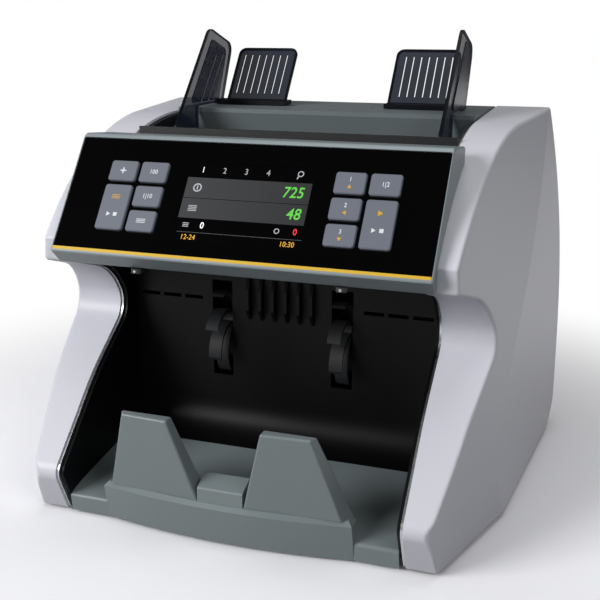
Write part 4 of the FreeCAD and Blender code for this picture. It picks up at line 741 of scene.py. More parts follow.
@dataclass
class MarkSheet:
    """Thin raised marks that become one mesh, drawn in millimetres from the sheet's middle."""

    name: str
    plane: PanelPlane
    across: float
    up: float
    out: float
    thickness: float = 0.05 * MM
    bar_pitch: float = 0.95
    bar_height: float = 0.42
    arrow_tip: float = 0.6
    arrow_tail: Point = (0.45, 0.62)
    ring_sides: int = 28
    numeral_scale: float = 1.42
    numeral_width: float = 0.86
    numeral_spacing: float = 1.05
    tones: List[InkTone] = field(default_factory=list)
    mesh: bmesh.types.BMesh = field(default_factory=bmesh.new)

    @classmethod
    def on_top(cls, node: str, plane: PanelPlane, name: str, lift: float) -> "MarkSheet":
        """Lays a sheet on top of a node.

        Args:
            node: Name of the node.
            plane: Plane of the panel.
            name: Name of the sheet.
            lift: Gap under the marks, in metres.

        Returns:
            The sheet.
        """
        across, up, out = plane.top_of(node)
        return cls(name, plane, across, up, out + lift)

    def slot(self, tone: InkTone) -> int:
        """Material slot of a tone on this sheet.

        Args:
            tone: The tone, which is added at its first use.

        Returns:
            The slot's number.
        """
        if tone not in self.tones:
            self.tones.append(tone)
        return self.tones.index(tone)

    def prism(self, loop: Sequence[Point], tone: InkTone) -> None:
        """Adds a raised mark with a closed outline.

        Args:
            loop: Corners of the outline, counter-clockwise.
            tone: Colour of the mark.
        """
        top = [self.mesh.verts.new((x * MM, y * MM, self.thickness)) for x, y in loop]
        low = [self.mesh.verts.new((x * MM, y * MM, 0.0)) for x, y in loop]
        faces = [self.mesh.faces.new(top), self.mesh.faces.new(low[::-1])]
        for index in range(len(loop)):
            after = (index + 1) % len(loop)
            faces.append(self.mesh.faces.new((low[index], low[after], top[after], top[index])))
        for face in faces:
            face.material_index = self.slot(tone)

    def bar(self, x: float, y: float, width: float, height: float, tone: InkTone) -> None:
        """Adds an upright rectangle round its middle."""
        half, reach = width / 2, height / 2
        self.prism([(x + a * half, y + b * reach) for a, b in ((-1, -1), (1, -1), (1, 1), (-1, 1))], tone)

    def bars(self, x: float, y: float, width: float, count: int, tone: InkTone) -> None:
        """Adds a short stack of level bars."""
        for index in range(count):
            self.bar(x, y + (index - (count - 1) / 2) * self.bar_pitch, width, self.bar_height, tone)

    def arrow(self, x: float, y: float, size: float, heading: Heading, tone: InkTone) -> None:
        """Adds a triangle that points one way.

        Args:
            x: Middle across.
            y: Middle up.
            size: Size of the arrow.
            heading: The way that it points.
            tone: Colour of the mark.
        """
        back, half = self.arrow_tail
        turn = Matrix.Rotation(math.radians(heading.value), 2) * size
        corners = [turn @ Vector(corner) for corner in ((self.arrow_tip, 0.0), (-back, half), (-back, -half))]
        self.prism([(x + corner.x, y + corner.y) for corner in corners], tone)

    def ring(self, x: float, y: float, radius: float, width: float, tone: InkTone) -> None:
        """Adds a flat ring.

        Args:
            x: Middle across.
            y: Middle up.
            radius: Outer radius.
            width: Width of the band.
            tone: Colour of the mark.
        """
        turns = [index * 2 * math.pi / self.ring_sides for index in range(self.ring_sides)]
        rims = []
        for reach, height in ((radius, self.thickness), (radius - width, self.thickness),
                              (radius - width, 0.0), (radius, 0.0)):
            rims.append([self.mesh.verts.new(((x + reach * math.cos(turn)) * MM,
                                              (y + reach * math.sin(turn)) * MM, height)) for turn in turns])
        for rim, following in zip(rims, rims[1:] + rims[:1]):
            for index in range(self.ring_sides):
                after = (index + 1) % self.ring_sides
                face = self.mesh.faces.new((rim[index], rim[after], following[after], following[index]))
                face.material_index = self.slot(tone)

    def text(self, words: str, x: float, y: float, height: float, tone: InkTone, lean: float = 0.0,
             bold: float = 0.0) -> None:
        """Adds numerals.

        Args:
            words: The numerals.
            x: Middle across.
            y: Middle up.
            height: Height of the numerals.
            tone: Colour of the marks.
            lean: Slant of the numerals.
            bold: Thickening of the strokes.
        """
        curve = bpy.data.curves.new("numerals", "FONT")
        curve.body = words
        curve.align_x = "CENTER"
        curve.align_y = "CENTER"
        curve.size = height * self.numeral_scale * MM
        curve.shear = lean
        curve.offset = bold * MM
        curve.space_character = self.numeral_spacing
        curve.resolution_u = 4
        curve.extrude = self.thickness / 2
        place = Matrix.Translation((x * MM, y * MM, self.thickness / 2))
        place = place @ Matrix.Diagonal((self.numeral_width, 1, 1, 1))
        slot = self.slot(tone)
        add_curve(self.mesh, curve, place, lambda face: slot)

    def finish(self, body: str, slot: str) -> None:
        """Makes the sheet one piece on its body.

        Args:
            body: Body that the marks move with.
            slot: Material slot of the record that the marks belong to; not used.
        """
        bmesh.ops.remove_doubles(self.mesh, verts=self.mesh.verts, dist=MERGE_GAP)
        bmesh.ops.recalc_face_normals(self.mesh, faces=self.mesh.faces)
        self.mesh.transform(self.plane.matrix(self.across, self.up, self.out))
        data = bpy.data.meshes.new(self.name)
        self.mesh.to_mesh(data)
        self.mesh.free()
        for tone in self.tones:
            data.materials.append(tone.value.material())
        place_piece(self.name, data, body)


@dataclass
class ScrewSet:
    """Pan-head screws with a cross recess, set on points that carry their facing."""

    name: str
    radius: float = 2.9 * MM
    height: float = 1.5 * MM
    recess_length: float = 3.2 * MM
    recess_width: float = 0.75 * MM
    sides: int = 28
    taper: float = 0.72
    recess_depth: float = 1.1

    def sizes(self) -> Dict[str, float]:
        """The tree's inputs with their values."""
        return {"Head Radius": self.radius, "Head Height": self.height,
                "Recess Length": self.recess_length, "Recess Width": self.recess_width}

    def tree(self, finish: Finish) -> bpy.types.NodeTree:
        """Geometry tree that puts a screw head on every point.

        Args:
            finish: Finish of the heads.

        Returns:
            The tree, with inputs for the head's sizes.
        """
        tree = bpy.data.node_groups.new(self.name, "GeometryNodeTree")
        tree.interface.new_socket("Points", in_out="INPUT", socket_type="NodeSocketGeometry")
        for label in self.sizes():
            tree.interface.new_socket(label, in_out="INPUT", socket_type="NodeSocketFloat")
        tree.interface.new_socket("Screws", in_out="OUTPUT", socket_type="NodeSocketGeometry")
        sheet = NodeSheet(tree)
        first = sheet.add("NodeGroupInput", {}, {})
        outputs = first.socket.node.outputs[:len(self.sizes()) + 1]
        points, radius, height, length, width = [Signal(sheet, socket) for socket in outputs]
        head = sheet.add("GeometryNodeMeshCone", {}, {
            "Vertices": self.sides, "Side Segments": 2, "Radius Top": radius * self.taper,
            "Radius Bottom": radius, "Depth": height})
        lift = sheet.add("ShaderNodeCombineXYZ", {}, {2: height})
        cutters = []
        for long_way, short_way in ((length, width), (width, length)):
            size = sheet.add("ShaderNodeCombineXYZ", {}, {
                0: long_way, 1: short_way, 2: height * self.recess_depth})
            block = sheet.add("GeometryNodeMeshCube", {}, {"Size": size})
            cutters.append(sheet.add("GeometryNodeTransform", {}, {"Geometry": block, "Translation": lift}))
        cut = sheet.add("GeometryNodeMeshBoolean", {"operation": "DIFFERENCE"}, {
            "Mesh 1": head, "Mesh 2": cutters})
        facing = sheet.add("GeometryNodeInputNamedAttribute", {"data_type": "FLOAT_VECTOR"}, {
            "Name": "facing"})
        turn = sheet.add("FunctionNodeAlignRotationToVector", {"axis": "Z"}, {"Vector": facing})
        heads = sheet.add("GeometryNodeInstanceOnPoints", {}, {
            "Points": points, "Instance": cut, "Rotation": turn})
        real = sheet.add("GeometryNodeRealizeInstances", {}, {0: heads})
        dressed = sheet.add("GeometryNodeSetMaterial", {}, {"Geometry": real, "Material": finish.material()})
        sheet.fill(tree.nodes.new("NodeGroupOutput"), {0: dressed})
        return tree

    def build(self, places: Sequence[Vector], facing: Vector, finish: Finish, body: str) -> None:
        """Makes the screws as one plain mesh.

        Args:
            places: Where the heads sit.
            facing: The way that the heads look.
            finish: Finish of the heads.
            body: Body that they move with.
        """
        points = bpy.data.meshes.new(self.name + "_points")
        points.from_pydata([tuple(place) for place in places], [], [])
        ways = points.attributes.new("facing", "FLOAT_VECTOR", "POINT")
        for entry in ways.data:
            entry.vector = facing
        carrier = bpy.data.objects.new(self.name + "_points", points)
        bpy.context.scene.collection.objects.link(carrier)
        modifier = carrier.modifiers.new("screws", "NODES")
        modifier.node_group = self.tree(finish)
        sizes = self.sizes()
        for item in modifier.node_group.interface.items_tree:
            if item.in_out == "INPUT" and item.name in sizes:
                modifier[item.identifier] = sizes[item.name]
        carrier.update_tag()
        graph = bpy.context.evaluated_depsgraph_get()
        data = bpy.data.meshes.new_from_object(carrier.evaluated_get(graph))
        data.name = self.name
        carrier.modifiers.clear()
        bpy.data.objects.remove(carrier)
        place_piece(self.name, data, body)


class SubAssembly:
    """One sub-assembly of the machine."""

    def dress(self) -> None:
        """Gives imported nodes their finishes."""

    def build(self) -> None:
        """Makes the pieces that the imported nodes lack."""


@dataclass
class SideCovers(SubAssembly):
    """The two flared outer covers."""

    shell: GrainedPlastic = GrainedPlastic("finish_cover", srgb(222, 223, 232), 0.42)

    def dress(self) -> None:
        """Gives both covers their satin plastic."""
        dress(("left_side_cover", "right_side_cover"), self.shell)


@dataclass
class ScreenMarks:
    """Lit marks of the screen."""

    menu_y: float = 19.0
    menu_first: float = -27.5
    menu_pitch: float = 12.5
    menu_count: int = 4
    menu_height: float = 3.4
    loupe: Point = (28.0, 19.6)
    loupe_radius: float = 1.7
    loupe_width: float = 0.5
    loupe_handle: Tuple[Point, ...] = ((-1.8, -2.8), (-1.3, -3.2), (-0.7, -1.4), (-1.2, -1.0))
    sign_x: float = -28.5
    sign_width: float = 5.0
    sign_stroke: float = 0.7
    sign_hand: float = 2.4
    counts: Tuple[Tuple[str, float, float], ...] = (("725", 26.0, 8.4), ("48", 28.6, -3.8))
    count_height: float = 6.2
    count_lean: float = 0.12
    count_bold: float = 0.1
    foot_y: float = -13.6
    foot_height: float = 3.6
    foot_bold: float = 0.06
    foot_numerals: Point = (-20.5, 31.5)
    foot_bars: Point = (-30.0, 3.4)
    foot_ring: Triple = (21.5, 1.5, 0.45)
    rule: Tuple[float, float, float, float] = (1.0, -17.8, 70.0, 0.2)
    clock_y: float = -20.7
    clock_height: float = 2.9
    clock: Tuple[Tuple[str, float], ...] = (("12-24", -27.0), ("10:30", 28.5))

    def draw(self, sheet: MarkSheet) -> None:
        """Draws the menu, the two counts, the totals and the clock.

        Args:
            sheet: The sheet on the screen.
        """
        white, grey = InkTone.LIT_WHITE, InkTone.LIT_GREY
        for index in range(self.menu_count):
            x = self.menu_first + index * self.menu_pitch
            sheet.text(str(index + 1), x, self.menu_y, self.menu_height, grey if index else white)
        x, y = self.loupe
        sheet.ring(x, y, self.loupe_radius, self.loupe_width, grey)
        sheet.prism([(x + a, y + b) for a, b in self.loupe_handle], grey)
        high_y, low_y = [count[2] for count in self.counts]
        sheet.ring(self.sign_x, high_y, self.sign_width / 2, self.sign_stroke, grey)
        sheet.bar(self.sign_x, high_y, self.sign_stroke, self.sign_hand, grey)
        sheet.bars(self.sign_x, low_y, self.sign_width, count=4, tone=grey)
        for words, x, y in self.counts:
            sheet.text(words, x, y, self.count_height, InkTone.LIT_GREEN, self.count_lean, self.count_bold)
        sheet.bars(self.foot_bars[0], self.foot_y, self.foot_bars[1], count=3, tone=grey)
        sheet.ring(self.foot_ring[0], self.foot_y, *self.foot_ring[1:], grey)
        for x, tone in zip(self.foot_numerals, (white, InkTone.LIT_RED)):
            sheet.text("0", x, self.foot_y, self.foot_height, tone, bold=self.foot_bold)
        sheet.bar(*self.rule, InkTone.LIT_RULE)
        for words, x in self.clock:
            sheet.text(words, x, self.clock_y, self.clock_height, InkTone.LIT_GOLD)


Drawing = Callable[[MarkSheet], None]


@dataclass
class KeyMarks:
    """Printed marks of the keys."""

    label_height: float = 2.6
    bold: float = 0.05
    plus_bars: Tuple[Triple, ...] = ((0.0, 3.6, 0.75), (1.1, 0.75, 1.42), (-1.1, 0.75, 1.42))
    list_width: float = 5.4
    step_numeral: Point = (1.9, 2.4)
    step_arrow: Point = (-2.2, 2.0)
    start_x: Point = (-2.0, 2.2)
    start_size: float = 2.2
    tall_y: float = 6.0
    tall_bars: float = 5.0
    tall_arrow: float = 2.6
    left_start_y: float = -4.5
    right_start_y: float = -3.5

    def label(self, words: str) -> Drawing:
        """Numerals in the middle of a key."""
        return lambda sheet: sheet.text(words, 0.0, 0.0, self.label_height, InkTone.KEY_WHITE, bold=self.bold)

    def step(self, words: str, heading: Heading) -> Drawing:
        """A numeral over a gold arrow.

        Args:
            words: The numeral.
            heading: The way that the arrow points.

        Returns:
            What draws both on a key's sheet.
        """
        def draw(sheet: MarkSheet) -> None:
            """Draws numeral and arrow."""
            sheet.text(words, 0.0, *self.step_numeral, InkTone.KEY_WHITE, bold=self.bold)
            sheet.arrow(0.0, *self.step_arrow, heading, InkTone.KEY_GOLD)

        return draw

    def plus(self, sheet: MarkSheet) -> None:
        """Plus sign."""
        for y, width, height in self.plus_bars:
            sheet.bar(0.0, y, width, height, InkTone.KEY_WHITE)

    def start(self, sheet: MarkSheet, y: float) -> None:
        """Start and stop signs side by side.

        Args:
            sheet: The key's sheet.
            y: Middle of both signs.
        """
        arrow_x, bar_x = self.start_x
        sheet.arrow(arrow_x, y, self.start_size, Heading.RIGHT, InkTone.KEY_WHITE)
        sheet.bar(bar_x, y, self.start_size, self.start_size, InkTone.KEY_WHITE)

    def entries(self, sheet: MarkSheet) -> None:
        """Three bars."""
        sheet.bars(0.0, 0.0, self.list_width, count=3, tone=InkTone.KEY_WHITE)

    def left_tall(self, sheet: MarkSheet) -> None:
        """Gold bars over start and stop."""
        sheet.bars(0.0, self.tall_y, self.tall_bars, count=3, tone=InkTone.KEY_GOLD)
        self.start(sheet, self.left_start_y)

    def right_tall(self, sheet: MarkSheet) -> None:
        """Gold arrow over start and stop."""
        sheet.arrow(0.0, self.tall_y, self.tall_arrow, Heading.RIGHT, InkTone.KEY_GOLD)
        self.start(sheet, self.right_start_y)

    def drawings(self) -> Dict[str, Drawing]:
        """What draws the marks of each key.

        Returns:
            Drawings by the key's node.
        """
        return {
            "left_key_outer_top": self.plus,
            "left_key_inner_top": self.label("100"),
            "left_key_outer_tall": self.left_tall,
            "left_key_inner_middle": self.label("1|10"),
            "left_key_inner_low": self.entries,
            "right_key_outer_top": self.label("1|2"),
            "right_key_outer_tall": self.right_tall,
            "right_key_inner_top": self.step("1", Heading.UP),
            "right_key_inner_middle": self.step("2", Heading.LEFT),
            "right_key_inner_low": self.step("3", Heading.DOWN),
        }


@dataclass
class ControlHead(SubAssembly):
    """Head with its lens, screen and keys."""

    tilt: float = math.radians(36)
    mark_lift: float = 0.01 * MM
    latch_half: float = 3.0 * MM
    pin_radius: float = 1.0 * MM
    pin_height: float = 0.8 * MM
    pin_recess: Point = (1.2 * MM, 0.3 * MM)
    shell_colour: Colour = srgb(134, 144, 147)
    shell_roughness: float = 0.36
    shell_speckle: float = 0.16
    # depth of the front face that gets the painted highlight
    painted_highlight_depth: float = 1.2 * MM
    keys: GrainedPlastic = GrainedPlastic("finish_keys", srgb(112, 117, 129), 0.5, speckle=0.05)
    lens: GlossAcrylic = GlossAcrylic("finish_lens", srgb(4, 4, 5), gloss=0.12)
    stripe: GrainedPlastic = GrainedPlastic("finish_stripe", srgb(232, 190, 62), 0.34, relief=0.01 * MM)
    steel: BrushedMetal = BrushedMetal("finish_latch", srgb(206, 206, 208), 0.26)
    black: GrainedPlastic = GrainedPlastic("finish_head_inside", srgb(26, 27, 29), 0.5)
    board: CircuitMask = CircuitMask("finish_keypad_board", srgb(18, 62, 40), srgb(44, 104, 70))

    def plane(self) -> PanelPlane:
        """The plane of the lens."""
        return PanelPlane.of_node("panel_lens", self.tilt)

    def shell(self) -> GrainedPlasticWithPaintedHighlight:
        """The housing's plastic, with a painted highlight that makes its front face paler.

        Returns:
            The finish.
        """
        level = self.plane().top_of("head_housing")[2] - self.painted_highlight_depth
        return GrainedPlasticWithPaintedHighlight("finish_head", self.shell_colour, self.shell_roughness,
                             speckle=self.shell_speckle, plane=self.plane(), level=level)

    def dress(self) -> None:
        """Gives the head's nodes their finishes."""
        # the head's plastic carries a painted highlight on its front face
        dress(("head_housing",), self.shell())
        dress([name for name in NODES if "_key_" in name], self.keys)
        dress(("panel_lens",), self.lens)
        middle = self.plane().top_of("display_module")[1]
        dress(("display_module",), LitScreen("finish_screen", self.plane(), middle))
        dress(("accent_stripe",), self.stripe)
        dress(("hinge_pins",), self.steel)
        dress(("head_back_cover", "head_latches"), self.black)
        dress(("keypad_board",), self.board)

    def build(self) -> None:
        """Makes the marks on the screen and on the keys, and the latches' pins."""
        screen = MarkSheet.on_top("display_module", self.plane(), "screen_marks", self.mark_lift)
        ScreenMarks().draw(screen)
        screen.finish("head", "screen")
        self.build_pins()
        for name, draw in KeyMarks().drawings().items():
            key = MarkSheet.on_top(name, self.plane(), name + "_marks", self.mark_lift)
            draw(key)
            key.finish(name + "_body", "key_plastic")

    def build_pins(self) -> None:
        """Makes the bright pin in the front of each latch."""
        low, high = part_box("head_latches")
        height = (low.z + high.z) / 2
        places = [Vector((x, low.y, height)) for x in (low.x + self.latch_half, high.x - self.latch_half)]
        pins = ScrewSet("latch_pins", self.pin_radius, self.pin_height, *self.pin_recess)
        pins.build(places, Vector((0, -1, 0)), self.steel, "head")


@dataclass
class StackerPocket(SubAssembly):
    """Pocket at the front with its tray and finger wheels."""

    shell: GrainedPlastic = GrainedPlastic("finish_tray", srgb(126, 136, 138), 0.36, speckle=0.16)
    black: GrainedPlastic = GrainedPlastic("finish_pocket", srgb(10, 10, 12), 0.42, gloss=0.15)
    wheel: GrainedPlastic = GrainedPlastic("finish_wheel", srgb(36, 37, 39), 0.6, gloss=0.3)

    def dress(self) -> None:
        """Gives the pocket's nodes their finishes."""
        dress(("stacker_tray", "tray_block", "left_paddle", "right_paddle"), self.shell)
        dress(("stacker_liners", "stacker_back_plate", "exit_hood"), self.black)
        dress(("finger_wheels",), self.wheel)


@dataclass
class Hopper(SubAssembly):
    """Hopper on top with its deck."""

    deck: GrainedPlastic = GrainedPlastic("finish_deck", srgb(112, 121, 124), 0.36, speckle=0.16)
    black: GrainedPlastic = GrainedPlastic("finish_hopper", srgb(24, 24, 26), 0.45)

    def dress(self) -> None:
        """Gives the hopper's nodes their finishes."""
        dress(("hopper_deck",), self.deck)
        dress(("hopper_tub", "rack_tray", "guide_pinion"), self.black)


def rounded(corners: Sequence[Triple], steps: int = 5) -> List[Point]:
    """Closed outline with its corners rounded.

    Args:
        corners: Two measures and the radius of each corner, in order.
        steps: Straight runs in each arc.

    Returns:
        The outline's points.
    """
    outline: List[Point] = []
    for index, (x, y, radius) in enumerate(corners):
        corner = Vector((x, y))
        back = (Vector(corners[index - 1][:2]) - corner).normalized()
        ahead = (Vector(corners[(index + 1) % len(corners)][:2]) - corner).normalized()
        half = back.angle(ahead) / 2
        middle = corner + (back + ahead).normalized() * (radius / math.sin(half))
        first = corner + back * (radius / math.tan(half)) - middle
        turn = first.angle_signed(corner + ahead * (radius / math.tan(half)) - middle, 0.0)
        for step in range(steps + 1):
            point = middle + Matrix.Rotation(-turn * step / steps, 2) @ first
            outline.append((point.x, point.y))
    return outline


def box_outline(low: Point, high: Point, low_radius: float, high_radius: float) -> List[Point]:
    """Rounded rectangle between two corners.

    Args:
        low: Lower left corner.
        high: Upper right corner.
        low_radius: Radius of the lower corners.
        high_radius: Radius of the upper corners.

    Returns:
        The outline's points.
    """
    return rounded([(low[0], low[1], low_radius), (high[0], low[1], low_radius),
                    (high[0], high[1], high_radius), (low[0], high[1], high_radius)])


class GuideSlot(Enum):
    """Material slots of a guide."""

    RIM = 0
    SMOKE = 1
    DARK_SMOKE = 2
    # the fine ribs, pale with a painted highlight
    LINE = 3


@dataclass
class HopperGuides(SubAssembly):
    """The two smoky guides on the hopper; measures in millimetres."""

    wing_x: float = 84.0
    wing_sheet: float = 2.2
    wing: Tuple[Triple, ...] = ((7.2, 204.7, 3.0), (43.5, 204.7, 2.0), (43.5, 219.0, 2.0),
                                (84.0, 219.0, 1.0), (102.5, 257.0, 6.0), (65.5, 268.5, 8.0))
    skin_sheet: float = 0.7
    skin_gap: float = 0.05
    skin: Tuple[Triple, ...] = ((36.5, 221.0, 2.0), (81.5, 221.0, 2.0),
                                (96.9, 253.5, 4.0), (72.8, 261.0, 4.0))
    rib_starts: Tuple[Point, ...] = ((46.7, 221.0), (57.8, 221.0))
    rib_run: Point = (26.3, 29.0)
    rib_width: float = 0.8
    rib_height: float = 0.3
    rib_radius: float = 0.3
    rest_inner: float = 34.9
    rest_outer: float = 77.7
    rest_length: float = 42.4
    rest_radius: float = 5.0
    rest_low_radius: float = 0.5
    rest_sheet: float = 0.9
    rest_rim: float = 1.4
    rest_rim_sheet: float = 2.2
    rest_rise: float = 1.5
    rest_lean: float = math.radians(37)
    rest_y: float = 80.0
    rest_height: float = 1.0
    slot_width: float = 0.7
    slot_first: float = 41.7
    slot_pitch: float = 5.13
    slot_count: int = 7
    slot_low: float = 6.0
    slot_top: float = 5.2
    foot_gap: float = 0.4
    foot_height: float = 2.9
    foot_half: float = 7.0
    foot_split: float = 79.9
    foot_end: float = 85.0
    foot_radius: float = 1.0
    edge: float = 0.3
    edges_per_sheet: float = 6.0
    flat_level: float = 0.95
    rim: GlossAcrylic = GlossAcrylic("finish_guide_rim", srgb(10, 12, 17), 0.3, 0.15)
    smoke: SmokedSheet = SmokedSheet("finish_guides", srgb(38, 45, 70), 0.66)
    dark_smoke: SmokedSheet = SmokedSheet("finish_guide_rests", srgb(38, 43, 58), 0.86)
    # pale rib colour: real ribs whose highlight is painted into their colour
    rib_highlight: GrainedPlastic = GrainedPlastic("guide_ribs_painted_highlight", srgb(176, 180, 188), 0.4)

    def build(self) -> None:
        """Makes both guides in place of their plain nodes."""
        for name, side in (("left", -1), ("right", 1)):
            mesh = self.base(name + "_guide", side)
            self.add_wing(mesh, side)
            self.add_rest(mesh, side)
            data = bpy.data.meshes.new(name + "_note_guide")
            mesh.to_mesh(data)
            mesh.free()
            for finish in (self.rim, self.smoke, self.dark_smoke, self.rib_highlight):
                data.materials.append(finish.material())
            piece = place_piece(data.name, data, name + "_guide_body")
            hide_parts(name + "_guide")

    def floor(self) -> float:
        """Height of the guides' underside."""
        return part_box("hopper_deck")[1].z / MM + self.foot_gap

    def base(self, node: str, side: int) -> bmesh.types.BMesh:
        """Foot, tongue and rack of a packed guide, without what stands on its foot.

        Args:
            node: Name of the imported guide.
            side: -1 for the left guide, 1 for the right.

        Returns:
            The mesh, closed where it was cut.
        """
        mesh = bmesh.new()
        mesh.from_mesh(NODES[node].data)
        bmesh.ops.remove_doubles(mesh, verts=mesh.verts, dist=MERGE_GAP)
        top = (self.floor() + self.foot_height) * MM
        for place, way in ((Vector((side * self.foot_split * MM, 0, 0)), Vector((side, 0, 0))),
                           (Vector((0, 0, top)), Vector((0, 0, 1)))):
            whole = mesh.verts[:] + mesh.edges[:] + mesh.faces[:]
            cut = bmesh.ops.bisect_plane(mesh, geom=whole, plane_co=place, plane_no=way, clear_outer=True)
            rims = [item for item in cut["geom_cut"] if isinstance(item, bmesh.types.BMEdge)]
            bmesh.ops.holes_fill(mesh, edges=rims)
        low, high = sorted((side * (self.foot_split - self.edge), side * self.foot_end))
        end = box_outline((low, self.rest_y - self.foot_half), (high, self.rest_y + self.foot_half),
                          self.foot_radius, self.foot_radius)
        middle = Matrix.Translation((0, 0, (self.floor() + self.foot_height / 2) * MM))
        self.add_plate(mesh, [end], self.foot_height, middle, GuideSlot.RIM)
        return mesh

    def add_wing(self, mesh: bmesh.types.BMesh, side: int) -> None:
        """Adds the side wing, with a second skin over its rear part and two fine ribs inside, pale with a
        painted highlight.

        Args:
            mesh: The guide's mesh.
            side: -1 for the left guide, 1 for the right.
        """
        plates = [(self.wing, 0.0, self.wing_sheet, GuideSlot.SMOKE),
                  (self.skin, (self.wing_sheet + self.skin_sheet) / 2 + self.skin_gap, self.skin_sheet,
                   GuideSlot.SMOKE)]
        run_y, run_z = self.rib_run
        for y, z in self.rib_starts:
            end_y, end_z = y + run_y, z + run_z
            rib = [(y, z), (y + self.rib_width, z), (end_y + self.rib_width, end_z), (end_y, end_z)]
            corners = [(*corner, self.rib_radius) for corner in rib]
            plates.append((corners, -self.wing_sheet / 2, self.rib_height, GuideSlot.LINE))
        turn = Matrix(((0, 0, 1, 0), (1, 0, 0, 0), (0, 1, 0, 0), (0, 0, 0, 1)))
        for corners, out, thickness, slot in plates:
            place = Matrix.Translation((side * (self.wing_x + out) * MM, 0, 0)) @ turn
            self.add_plate(mesh, [rounded(corners)], thickness, place, slot)

    def add_rest(self, mesh: bmesh.types.BMesh, side: int) -> None:
        """Adds the leaning back-rest: a thin slotted sheet in a thicker rim.

        Args:
            mesh: The guide's mesh.
            side: -1 for the left guide, 1 for the right.
        """
        half, high = self.slot_width / 2, self.rest_length - self.slot_top
        slots = []
        for index in range(self.slot_count):
            x = side * (self.slot_first + index * self.slot_pitch)
            slots.append(box_outline((x - half, self.slot_low), (x + half, high), half / 2, half / 2))
        turn = Matrix.Rotation(math.pi / 2 - self.rest_lean, 4, "X")
        place = Matrix.Translation((0, self.rest_y * MM, (self.floor() + self.rest_height) * MM)) @ turn
        place = place @ Matrix.Translation((0, 0, self.rest_rise * MM))
        sheet = [self.rest_outline(side, self.rest_rim / 2)] + slots
        self.add_plate(mesh, sheet, self.rest_sheet, place, GuideSlot.DARK_SMOKE)
        ring = [self.rest_outline(side, 0.0), self.rest_outline(side, self.rest_rim)]
        self.add_plate(mesh, ring, self.rest_rim_sheet, place, GuideSlot.RIM)

    def rest_outline(self, side: int, inset: float) -> List[Point]:
        """Outline of the back-rest.

        Args:
            side: -1 for the left guide, 1 for the right.
            inset: How far the outline is drawn in.

        Returns:
            The outline's points.
        """
        low, high = sorted((side * (self.rest_inner + inset), side * (self.rest_outer - inset)))
        return box_outline((low, inset), (high, self.rest_length - inset), self.rest_low_radius,
                           self.rest_radius - inset)

    def add_plate(self, mesh: bmesh.types.BMesh, loops: Sequence[Sequence[Point]], thickness: float,
                  place: Matrix, slot: GuideSlot) -> None:
        """Adds a flat plate with softened edges in the rim's finish.

        Args:
            mesh: The mesh that takes it.
            loops: Its outline, then its openings, counter-clockwise.
            thickness: Its thickness.
            place: Placement of its middle plane.
            slot: Material slot of its broad faces.
        """
        edge = min(self.edge, thickness / self.edges_per_sheet)
        curve = bpy.data.curves.new("plate", "CURVE")
        curve.dimensions = "2D"
        curve.fill_mode = "BOTH"
        curve.extrude = (thickness / 2 - edge) * MM
        curve.bevel_depth = edge * MM
        curve.bevel_resolution = 1
        curve.offset = -edge * MM
        for number, loop in enumerate(loops):
            spline = curve.splines.new("POLY")
            spline.points.add(len(loop) - 1)
            for point, (x, y) in zip(spline.points, loop if number == 0 else loop[::-1]):
                point.co = (x * MM, y * MM, 0.0, 1.0)
            spline.use_cyclic_u = True
        add_curve(mesh, curve, place, lambda face: (
            slot if abs(face.normal.z) > self.flat_level else GuideSlot.RIM).value)


@dataclass
class DriveTrain(SubAssembly):
    """Shafts, rollers, belts and motors."""

    steel: BrushedMetal = BrushedMetal("finish_shaft", srgb(190, 190, 192))
    rubber: Rubber = Rubber("finish_rubber", srgb(46, 46, 48))
    can: BrushedMetal = BrushedMetal("finish_motor", srgb(168, 168, 166), 0.38)
    black: GrainedPlastic = GrainedPlastic("finish_path", srgb(28, 28, 30), 0.4)

    def dress(self) -> None:
        """Gives the drive's nodes their finishes."""
        dress([name + "_shaft" for name in ("stacker", "transport", "feed", "pickup")], self.steel)
        dress(("shaft_bearings", "main_motor_rotor", "stacker_motor_rotor"), self.steel)
        dress(("transport_rollers", "feed_rollers", "pickup_rollers", "drive_belts"), self.rubber)
        dress(("main_motor", "stacker_motor"), self.can)
        dress(("rear_path_guide", "sensor_bars"), self.black)


@dataclass
class Chassis(SubAssembly):
    """Frame plates, ties, base and feet."""

    plate: BrushedMetal = BrushedMetal("finish_frame", srgb(196, 197, 200), 0.3, (900.0, 900.0, 30.0))
    zinc: ZincSheet = ZincSheet("finish_base", srgb(178, 180, 184))
    feet: Rubber = Rubber("finish_feet", srgb(30, 30, 32))
    screw: BrushedMetal = BrushedMetal("finish_base_screw", srgb(160, 160, 162), 0.34)
    screw_inset: float = 9.0 * MM
    screw_shares: Triple = (0.06, 0.5, 0.94)

    def dress(self) -> None:
        """Gives the chassis its finishes."""
        dress(("left_frame_plate", "right_frame_plate", "frame_ties"), self.plate)
        dress(("base_plate",), self.zinc)
        dress(("rubber_feet",), self.feet)

    def build(self) -> None:
        """Screws under the base plate."""
        low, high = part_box("base_plate")
        sides = (low.x + self.screw_inset, high.x - self.screw_inset)
        places = [Vector((x, low.y + (high.y - low.y) * share, low.z))
                  for x in sides for share in self.screw_shares]
        ScrewSet("base_screws").build(places, Vector((0, 0, -1)), self.screw, "chassis")


